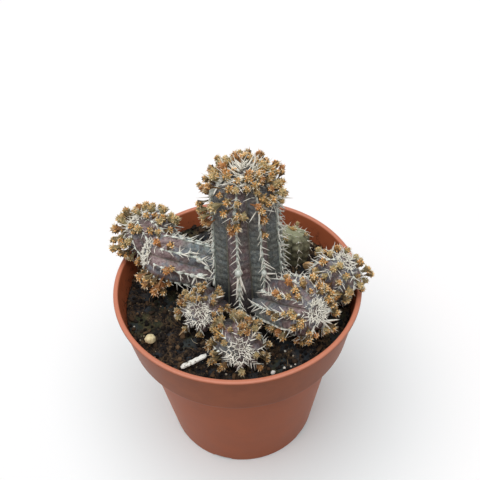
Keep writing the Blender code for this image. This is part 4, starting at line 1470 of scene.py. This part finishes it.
def soil_mesh(grain):
    """The closed body of soil: its sides follow the pot and its top is a lumpy mound."""
    columns, rings = 180, 72
    step = POT_HEIGHT - COLLAR_HEIGHT
    gap = WALL + CLEARANCE
    sides = [
        (body_radius(FLOOR_TOP) - gap - 0.0016, FLOOR_TOP + CLEARANCE),
        (body_radius(FLOOR_TOP + 0.0016) - gap, FLOOR_TOP + 0.0016 + CLEARANCE),
        (body_radius(step - 0.001) - gap, step - WALL),
        (collar_radius(step + 0.004) - gap, step + 0.0042),
    ]
    rim = collar_radius(SOIL_LEVEL - SOIL_LUMPS) - gap
    points = [(0, 0, sides[0][1])]
    for radius, z in sides:
        points += circle(radius, z, columns)
    for ring in range(rings):
        for x, y, _ in circle(rim * (1 - ring / rings), 0, columns):
            fine = noise(Vector((x * 620, y * 620, 1.9))) + 0.6 * noise(Vector((x * 1400, y * 1400, 5.3)))
            shrink = 1 if ring else 0.3
            points.append((x, y, soil_height(x, y) + grain * fine * shrink))
    points.append((0, 0, soil_height(0, 0)))
    faces = tube_faces(len(sides) + rings, columns)
    return turned_out(mesh_from("soil_bed", points, faces))


def lie(tilt, spin):
    """A turn that tips a shape by a little and spins it about the vertical."""
    return Euler((tilt[0], tilt[1], spin)).to_quaternion()


def scattered(name, strewn, shapes, finish, twist, spread, seed, rounded=True):
    """One piece made of a small shape at every strewn point."""
    values = {
        "Shapes": shapes,
        "Finish": finish,
        "Twist": twist,
        "Size Spread": spread,
        "Seed": seed,
        "Rounded": rounded,
    }
    return grown(name, strewn.mesh(name + "_points"), bpy.data.node_groups["scatter_shapes"], values)


def strew_litter(look, stems):
    """Crumbs, chips and fibres all over the bare soil, and the larger white crumbs."""
    made = Sprinkle()
    draw = np.random.default_rng(look.seed)
    while len(made.places) < look.crumbs + look.fibres:
        radius = LITTER_RADIUS * math.sqrt(draw.random())
        angle = draw.random() * math.tau
        x, y = radius * math.cos(angle), radius * math.sin(angle)
        size = 0.45 + 1.7 * draw.random() ** 3
        is_fibre = len(made.places) >= look.crumbs
        spin = draw.random() * math.tau
        tilt = (draw.random(2) - 0.5) * 0.9
        pick = draw.random()
        tone = draw.random()
        z = soil_height(x, y)
        place = Vector((x, y, z))
        if any(stem.distance(place) < -0.001 for stem in stems):
            continue
        reach = size * 0.6 * MM * (2.2 if is_fibre else 1)
        if math.hypot(x, y) > collar_radius(z) - WALL - reach:
            continue
        if is_fibre:
            length = 1.0 + 2.2 * pick
            place += Vector((0, 0, 0.0006))
            sizes = (length, length, 1.6)
            made.add(place, lie(tilt * 0.6, spin), sizes, 4 + int(pick * 2), 0.45 + 0.5 * tone)
            continue
        kind = 3 if pick > 0.86 else int(pick * 3)
        shade = 0.90 * tone**1.6
        if tone > 0.91:  # pale grit, finer than the rest
            shade = 0.84 + 0.16 * pick
            size *= 0.5
        if kind == 3:  # a flat chip of bark
            shade = 0.35 + 0.5 * tone
            size *= 1.3
        made.add(place + Vector((0, 0, size * 0.15 * MM)), lie(tilt, spin), size, kind, shade)
    for x, y, size in FLECKS:
        x, y = x * MM, y * MM
        place = Vector((x, y, soil_height(x, y) + size * 0.3 * MM))
        made.add(place, lie((0.3, 0.2), x * 900), size, 1, 1.0)
    return made


class EUPHORBIA_OT_soil(bpy.types.Operator):
    """Build the soil and strew it with crumbs, bark, fibre and grit"""

    bl_idname = "euphorbia.soil"
    bl_label = "Soil"

    def execute(self, context):
        look = context.scene.euphorbia_soil
        bed = object_from("soil_bed", soil_mesh(look.grain))
        bed.data.materials.append(peat(tuple(look.colour)))
        settled(bed, "peat", "soil")
        shapes = crumb_shapes()
        strewn = strew_litter(look, all_stems())
        settled(scattered("soil_litter", strewn, shapes, litter(), 0.0, 0.15, look.seed), "peat")
        discard(shapes)
        return {"FINISHED"}


# --- plant ---------------------------------------------------------------------------------------


class EUPHORBIA_OT_stems(bpy.types.Operator):
    """Grow the ribbed main stem and its offsets"""

    bl_idname = "euphorbia.stems"
    bl_label = "Stems"

    def execute(self, context):
        look = context.scene.euphorbia_stems
        tree = ribbed_tree()
        finish = stem_skin(tuple(look.colour), tuple(look.flush))
        for number, stem in enumerate(all_stems()):
            values = {
                "Finish": finish,
                "Rib Depth": look.rib_depth * (1.0 if number == 0 else 1.15),
                "Groove Share": 0.14 if number == 0 else 0.22,
                "Fullness": 1.1 if number == 0 else 1.5,
                "Tubercle Height": look.tubercle * (3.0 if stem.habit.cork else 1.0),
                "Unevenness": look.unevenness,
                "Seed": 2.0 + number,
            }
            obj = grown(stem.name + "_ribs", stem.surface(), tree, values)
            settled(obj, "stem_skin", stem.name)
        return {"FINISHED"}


def facing(side, upward, outward):
    """The turn that lays X sideways, Y towards the tip and Z away from the stem."""
    return Matrix((side, upward, outward)).transposed().to_quaternion()


def tilted(turn, draw, amount):
    """A turn that is tipped at random, by up to amount radians about each axis."""
    swing = (draw.random(3) - 0.5) * 2 * amount
    return turn @ Euler((swing[0], swing[1], swing[2])).to_quaternion()


def each_stem(seed):
    """Every stem with its number, the other stems and its own random draws."""
    stems = all_stems()
    for number, stem in enumerate(stems):
        others = [other for other in stems if other is not stem]
        yield number, stem, others, np.random.default_rng(seed + number)


def strew_tip(made, stem, draw, small, dull):
    """The tuft of young forks on a stem's very tip, and the long pale ones among its cyathia."""
    count, breadth, share, large = stem.habit.tuft
    for k in range(count):
        arc = breadth * MM * math.sqrt(k / count)
        angle = draw.random() * math.tau
        side, upward, away = stem.axes(arc, angle)
        if k < 12:  # the innermost point every way
            side = (side * draw.uniform(-1, 1) + upward * draw.uniform(-1, 1)).normalized()
            upward = away.cross(side)
        turn = tilted(facing(side, upward, away), draw, 0.5)
        size = (0.74 + 0.12 * draw.random()) * small * large
        kind = 7 if draw.random() < share else 3
        if kind == 7:
            size *= 1.15
        made.add(stem.point(arc, angle, 0.0002), turn, size, kind, dull + 0.35 * draw.random())
    count, start, end = stem.habit.among
    for _ in range(count):
        arc = draw.uniform(start, end) * MM
        angle = stem.rib_angle(draw.integers(stem.ribs) + draw.uniform(-0.3, 0.3))
        turn = tilted(facing(*stem.axes(arc, angle)), draw, 0.5)
        made.add(stem.point(arc, angle), turn, draw.uniform(0.8, 1.15), 7, 0.6 * draw.random())


def strew_singles(made, stem):
    """The large shields and the single long spines that are listed one by one."""
    for rib, arc, size in LARGE_SHIELDS.get(stem.name, ()):
        angle = stem.rib_angle(rib)
        made.add(stem.point(arc * MM, angle, 0.0003), facing(*stem.axes(arc * MM, angle)), size, 6, 0.3)
    for rib, arc, length, sideways, tipward, outward, thickness, shade in LONG_SPINES.get(stem.name, ()):
        angle = stem.rib_angle(rib)
        side, upward, away = stem.axes(arc * MM, angle)
        turn = (side * sideways + upward * tipward + away * outward).to_track_quat("Z", "Y")
        thick = thickness * 1.6
        made.add(stem.point(arc * MM, angle, 0.0002), turn, (thick, thick, length), 5, shade)


def strew_spines(stem, others, draw, scale):
    """Shields and forks along every rib of a stem, crowded round its tip."""
    made = Sprinkle()
    habit = stem.habit
    small = min(1.0, 0.60 + 0.40 * stem.radius / GROWN_RADIUS)
    burst = habit.burst * MM
    dull = 0.7 * habit.cork
    strew_tip(made, stem, draw, small, dull)
    for rib in range(stem.ribs * 2):
        between = rib % 2
        angle = stem.rib_angle(rib / 2)
        for arc in stem.shield_arcs(rib // 2):
            # The very tip has its tuft, and the furrows are bare below the crowded forks.
            if arc < 0.0030 * small or (between and arc > burst * 0.62):
                continue
            lean = (draw.random() - 0.5) * 0.06
            shade = dull + (0.72 - dull) * draw.random()
            size = (0.85 + 0.35 * draw.random()) * small * scale * (1 - 0.4 * dull)
            pick = draw.random()
            axes = stem.axes(arc, angle + lean)
            turn = facing(*axes)
            place = stem.point(arc, angle + lean, 0.0003)
            if not clear_of(place + axes[2] * 0.0012, 0.0004, others):
                continue
            if arc < burst:
                made.add(place, tilted(turn, draw, 0.38), size * 0.92, 3, shade * 0.6)
                continue
            grown_up = min(1.0, (arc - burst) / 0.020)
            wide = 0.70 * size * habit.shield
            long = (0.60 + 0.45 * grown_up) * size * habit.shield
            made.add(place, turn, (wide, long, size), 0, shade * 0.6)
            kind = 1 if pick < 0.6 else 2 if pick < 0.85 else 4
            tip = place + (axes[2] * 0.7 - axes[1] * 0.3) * 0.004 * size
            if clear_of(tip, 0.0003, others):
                length = size * habit.fork * (0.85 + 0.20 * grown_up)
                made.add(place, tilted(turn, draw, 0.24), length, kind, shade)
    strew_singles(made, stem)
    return made


class EUPHORBIA_OT_spines(bpy.types.Operator):
    """Set the horny shields and forked spines along the ribs"""

    bl_idname = "euphorbia.spines"
    bl_label = "Spines"

    def execute(self, context):
        look = context.scene.euphorbia_spines
        shapes = spine_shapes()
        finish = spines(tuple(look.colour))
        for number, stem, others, draw in each_stem(look.seed):
            strewn = strew_spines(stem, others, draw, look.length)
            seed = look.seed + number
            settled(scattered(stem.name + "_spines", strewn, shapes, finish, 0.10, 0.12, seed), "spines")
        discard(shapes)
        return {"FINISHED"}


def wanted_cyathia(stem, draw, crowding):
    """The cyathia a stem should have: distance from the tip, rib, step aside, size, lift by the stalk.

    Distances are millimetres. The lift is None where it isn't listed."""
    habit = stem.habit
    wanted = []
    for rib, (start, end, files) in enumerate(ROWS[stem.name]):
        arc = start + draw.random() * habit.step * 0.5
        while files and arc < end:
            two = draw.random() < files - 1
            offset = 0.55 * habit.head + PAIR_GAP if two else 0.0
            for side in (-1, 1) if two else (1,):
                aside = side * offset + (draw.random() - 0.5) * STRAY
                late = (arc - start) / max(end - start, 1.0)
                wanted.append((arc + (draw.random() - 0.5) * STRAY, rib, aside, 1.0 - 0.16 * late, None))
            arc += habit.step * (0.85 + 0.3 * draw.random()) / crowding
    for rib, arc, size, lift in LONE_HEADS.get(stem.name, ()):
        wanted.append((arc, rib, 0.0, size, lift))
    first = min((row[0] for row in ROWS[stem.name] if row[2]), default=6.0)
    for _ in range(habit.extra):
        wanted.append((first - 1.0 + draw.random() * 6.0, draw.random() * stem.ribs, 0.0, 0.92, None))
    return wanted


def strew_cyathia(stem, others, draw, crowding):
    """Cyathia in files along the ribs, and some between the ribs close to the tip."""
    made = Sprinkle()
    habit = stem.habit
    outer = Vector((stem.tip.x, stem.tip.y, 0)).normalized()
    for arc, rib, aside, grown_up, lift in wanted_cyathia(stem, draw, crowding):
        arc *= MM
        girth = float(np.interp(arc, stem.arcs, stem.girths))
        turned = stem.rib_angle(rib) + aside * MM / max(girth, 0.003)
        axes = stem.axes(arc, turned)
        size = (0.80 + 0.34 * draw.random()) * grown_up * habit.head
        pick = draw.random()
        shade = min(max(habit.hue + draw.uniform(-0.42, 0.42), 0), 1)
        if lift is None:
            outside = 1.0 if stem.name == MAIN else max(0.0, axes[2].dot(outer))
            outside *= min(max(arc / MM / 13.0 - 0.1, 0.1), 1.0)
            lift = 0.3 + outside * habit.reach * draw.random() ** 0.7
        furrow = 0.13 * girth * math.sin(math.pi * rib) ** 2
        foot = stem.point(arc, turned, lift * MM - furrow)
        turn = tilted(facing(*axes), draw, 0.42)
        kind = int(pick * 5.3) if pick < 0.56 else 3 if pick < 0.76 else 4 if pick < 0.86 else 5
        if clear_of(foot + axes[2] * 0.0028, 0.0012, others):
            made.add(foot, turn, (size, size, size * 1.05), kind, shade)
    return made


class EUPHORBIA_OT_cyathia(bpy.types.Operator):
    """Crown the ribs with cyathia"""

    bl_idname = "euphorbia.cyathia"
    bl_label = "Cyathia"

    def execute(self, context):
        look = context.scene.euphorbia_cyathia
        shapes = cyathium_shapes()
        fresh = cyathia(tuple(look.colour))
        for number, stem, others, draw in each_stem(look.seed + 20):
            # Stems whose cyathia are darkened as painted shade get their own, darker material.
            painted_shade = stem.habit.painted_shade
            finish = cyathia(tuple(look.colour), painted_shade) if painted_shade else fresh
            strewn = strew_cyathia(stem, others, draw, look.crowding)
            name, seed = stem.name + "_cyathia", look.seed + number
            obj = scattered(name, strewn, shapes, finish, 3.1, 0.10, seed, rounded=False)
            settled(obj, "cyathia", stem.name + "_flowers")
        discard(shapes)
        return {"FINISHED"}


# --- loose pieces --------------------------------------------------------------------------------


def lump(name, place, size, turn, roughness, pitch, finish):
    """A rounded, pitted body with these half-sizes."""
    bm = bmesh.new()
    bmesh.ops.create_icosphere(bm, subdivisions=5, radius=1.0)
    turned = Euler(turn).to_matrix()
    for vertex in bm.verts:
        at = vertex.co.copy()
        uneven = 1 + 0.12 * noise(at * 1.7 + Vector(place) * 100)
        uneven += roughness * (noise(at * pitch) + 0.5 * noise(at * pitch * 2.3))
        stretched = Vector((at.x * size[0], at.y * size[1], at.z * size[2]))
        vertex.co = turned @ (stretched * uneven) + Vector(place)
    mesh = bpy.data.meshes.new(name)
    bm.to_mesh(mesh)
    bm.free()
    mesh.shade_smooth()
    mesh.materials.append(finish)
    return object_from(name, mesh)


def stalk_mesh():
    """A flattened, ribbed and slightly twisted length of dry stalk with ragged ends."""
    path = [Vector(point) * MM for point in STALK_PATH]
    rows, columns = 48, 28
    points, centres = [], []
    for i in range(rows):
        share = i / (rows - 1) * (len(path) - 1)
        low = min(int(share), len(path) - 2)
        centres.append(path[low].lerp(path[low + 1], share - low))
    for _ in range(4):
        inner = [(centres[i - 1] + centres[i] * 2 + centres[i + 1]) / 4 for i in range(1, rows - 1)]
        centres = [centres[0], *inner, centres[-1]]
    for i, centre in enumerate(centres):
        ahead = (centres[min(i + 1, rows - 1)] - centres[max(i - 1, 0)]).normalized()
        side = ahead.cross(Vector((0, 0, 1))).normalized()
        rise = side.cross(ahead)
        edge = min(i, rows - 1 - i) / 5
        thin = 0.55 + 0.45 * min(1.0, edge)
        for k in range(columns):
            angle = math.tau * k / columns
            rib = 1 + 0.08 * math.cos(7 * angle + i * 0.05)
            rib += 0.10 * noise(centre * 900 + Vector((angle, 0, 0)))
            rib += 0.28 * noise(Vector((i * 0.16, 0.6 * math.cos(angle), 5.0)))
            across = side * math.cos(angle) * STALK_WIDTH / 2 + rise * math.sin(angle) * STALK_THICKNESS / 2
            ragged = ahead * 0.0006 * noise(Vector((angle * 2.0, i, 3.0))) * (1 if edge < 0.3 else 0)
            points.append(centre + across * rib * thin + ragged)
    points = [centres[0], *points, centres[-1]]
    return turned_out(mesh_from("dry_stalk_fibres", points, tube_faces(rows, columns)))


class EUPHORBIA_OT_debris(bpy.types.Operator):
    """Lay the pebble, the dry stalk, the husk and the perlite on the soil"""

    bl_idname = "euphorbia.debris"
    bl_label = "Loose Pieces"

    def execute(self, context):
        grit = dry_matter("pale_grit", 0.0016, (0.32, (0.44, 0.34, 0.15)), (0.55, (0.86, 0.74, 0.46)))
        bone = dry_matter("dry_stalk", 0.0013, (0.40, (0.16, 0.13, 0.09)), (0.49, (0.88, 0.88, 0.82)))
        brown = dry_matter("dry_husk", 0.0015, (0.3, (0.46, 0.24, 0.09)), (0.7, (0.86, 0.58, 0.30)))
        white = dry_matter("perlite", 0.0008, (0.3, (0.50, 0.48, 0.43)), (0.7, (0.78, 0.77, 0.73)))
        pebble = lump("pebble_grit", PEBBLE_PLACE, PEBBLE_SIZE, PEBBLE_TURN, 0.05, 3.1, grit)
        settled(pebble, "pale_grit", "pebble")
        husk = lump("dry_husk_shell", HUSK_PLACE, HUSK_SIZE, HUSK_TURN, 0.06, 4.3, brown)
        settled(husk, "dry_husk", "dry_husk")
        for number, (place, size) in enumerate(PERLITE, start=1):
            turn = (0.3 * number, 0.2, 0.7 * number)
            grain = lump(f"perlite_grain_{number}", place, size, turn, 0.14, 5.5, white)
            settled(grain, "perlite", f"perlite_{number}")
        stalk = object_from("dry_stalk_fibres", stalk_mesh())
        stalk.data.materials.append(bone)
        settled(stalk, "dry_stalk", "dry_stalk")
        return {"FINISHED"}


# --- stage ---------------------------------------------------------------------------------------


def seen_directly(graph):
    """1 on camera, glossy and transmission rays, which see the plain white surroundings."""
    path = "ShaderNodeLightPath"
    camera = graph.node(path, output="Is Camera Ray")
    glossy = graph.node(path, output="Is Glossy Ray")
    through = graph.node(path, output="Is Transmission Ray")
    return graph.maths("MAXIMUM", graph.maths("MAXIMUM", camera, glossy), through)


def floor_finish(colour):
    """Plain pale floor, brighter where it is seen than where it lights the object."""
    made = bpy.data.materials.new("pale_floor")
    made.use_nodes = True
    tree = made.node_tree
    tree.nodes.clear()
    graph = Graph(tree)
    where = graph.place()
    shade = graph.noise(where, 0.05, detail=2, seed=20.0)
    seen = graph.blend(colour, tuple(c * 0.995 for c in colour), shade)
    # Painted cool tint on the floor near the pot, which cancels the reddish light the pot bounces onto it.
    cool = (colour[0] * 0.93, colour[1] * 0.99, colour[2])
    near = 1 - graph.ramp(graph.vector_maths("LENGTH", where, output="Value"), 0.035, 0.16)
    seen = graph.blend(seen, cool, near)
    base = graph.blend((0.34, 0.34, 0.34), seen, seen_directly(graph))
    shader = graph.node("ShaderNodeBsdfDiffuse", None, {"Color": base})
    graph.node("ShaderNodeOutputMaterial", None, {"Surface": shader})
    return made


class EUPHORBIA_OT_stage(bpy.types.Operator):
    """Set the floor, the soft light and the camera"""

    bl_idname = "euphorbia.stage"
    bl_label = "Stage"

    def execute(self, context):
        look = context.scene.euphorbia_stage
        half = 3.0
        corners = [(-half, -half, 0), (half, -half, 0), (half, half, 0), (-half, half, 0)]
        floor = object_from("floor", mesh_from("floor", corners, [(0, 1, 2, 3)], smooth=False))
        floor.data.materials.append(floor_finish(tuple(look.floor)))
        lamp_data = bpy.data.lights.new("overhead", "SUN")
        lamp_data.energy = look.lamp
        lamp_data.angle = math.radians(72)
        lamp = object_from("overhead", lamp_data)
        lamp.rotation_euler = Vector((-0.12, -0.15, 1.0)).to_track_quat("Z", "Y").to_euler()
        world = bpy.data.worlds.new("studio")
        world.use_nodes = True
        world.node_tree.nodes.clear()
        graph = Graph(world.node_tree)
        strength = look.sky + (1 - look.sky) * seen_directly(graph)
        shader = graph.node("ShaderNodeBackground", None, {"Color": (1, 1, 1), "Strength": strength})
        graph.node("ShaderNodeOutputWorld", None, {"Surface": shader})
        context.scene.world = world
        camera = object_from("camera", bpy.data.cameras.new("camera"))
        camera.location = CAMERA_PLACE
        camera.rotation_euler = [math.radians(angle) for angle in CAMERA_TURN]
        camera.data.lens = look.lens
        camera.data.sensor_width = 36.0
        camera.data.clip_start = 0.01
        camera.data.clip_end = 20.0
        context.scene.camera = camera
        context.scene.view_settings.view_transform = "Standard"
        return {"FINISHED"}


# --- panel and registration ----------------------------------------------------------------------


class EUPHORBIA_PT_sidebar(bpy.types.Panel):
    """The operators, in the order in which they are run"""

    bl_idname = "EUPHORBIA_PT_sidebar"
    bl_label = "Potted Euphorbia"
    bl_space_type = "VIEW_3D"
    bl_region_type = "UI"
    bl_category = "Euphorbia"

    def draw(self, context):
        for operator in OPERATORS:
            self.layout.operator(operator.bl_idname)
        for key, group in SETTINGS.items():
            box = self.layout.box()
            for name in group.__annotations__:
                box.prop(getattr(context.scene, key), name)


SETTINGS = {
    "euphorbia_pot": PotSettings,
    "euphorbia_soil": SoilSettings,
    "euphorbia_stems": StemSettings,
    "euphorbia_spines": SpineSettings,
    "euphorbia_cyathia": CyathiumSettings,
    "euphorbia_stage": StageSettings,
}
OPERATORS = [
    EUPHORBIA_OT_stage,
    EUPHORBIA_OT_pot,
    EUPHORBIA_OT_soil,
    EUPHORBIA_OT_stems,
    EUPHORBIA_OT_spines,
    EUPHORBIA_OT_cyathia,
    EUPHORBIA_OT_debris,
]


def register():
    for made in [*SETTINGS.values(), *OPERATORS, EUPHORBIA_PT_sidebar]:
        bpy.utils.register_class(made)
    for key, group in SETTINGS.items():
        setattr(bpy.types.Scene, key, PointerProperty(type=group))


def unregister():
    for key in SETTINGS:
        delattr(bpy.types.Scene, key)
    for made in reversed([*SETTINGS.values(), *OPERATORS, EUPHORBIA_PT_sidebar]):
        bpy.utils.unregister_class(made)


def main():
    register()
    scatter_tree()
    for operator in OPERATORS:
        group, name = operator.bl_idname.split(".")
        getattr(getattr(bpy.ops, group), name)()


if __name__ == "__main__":
    main()
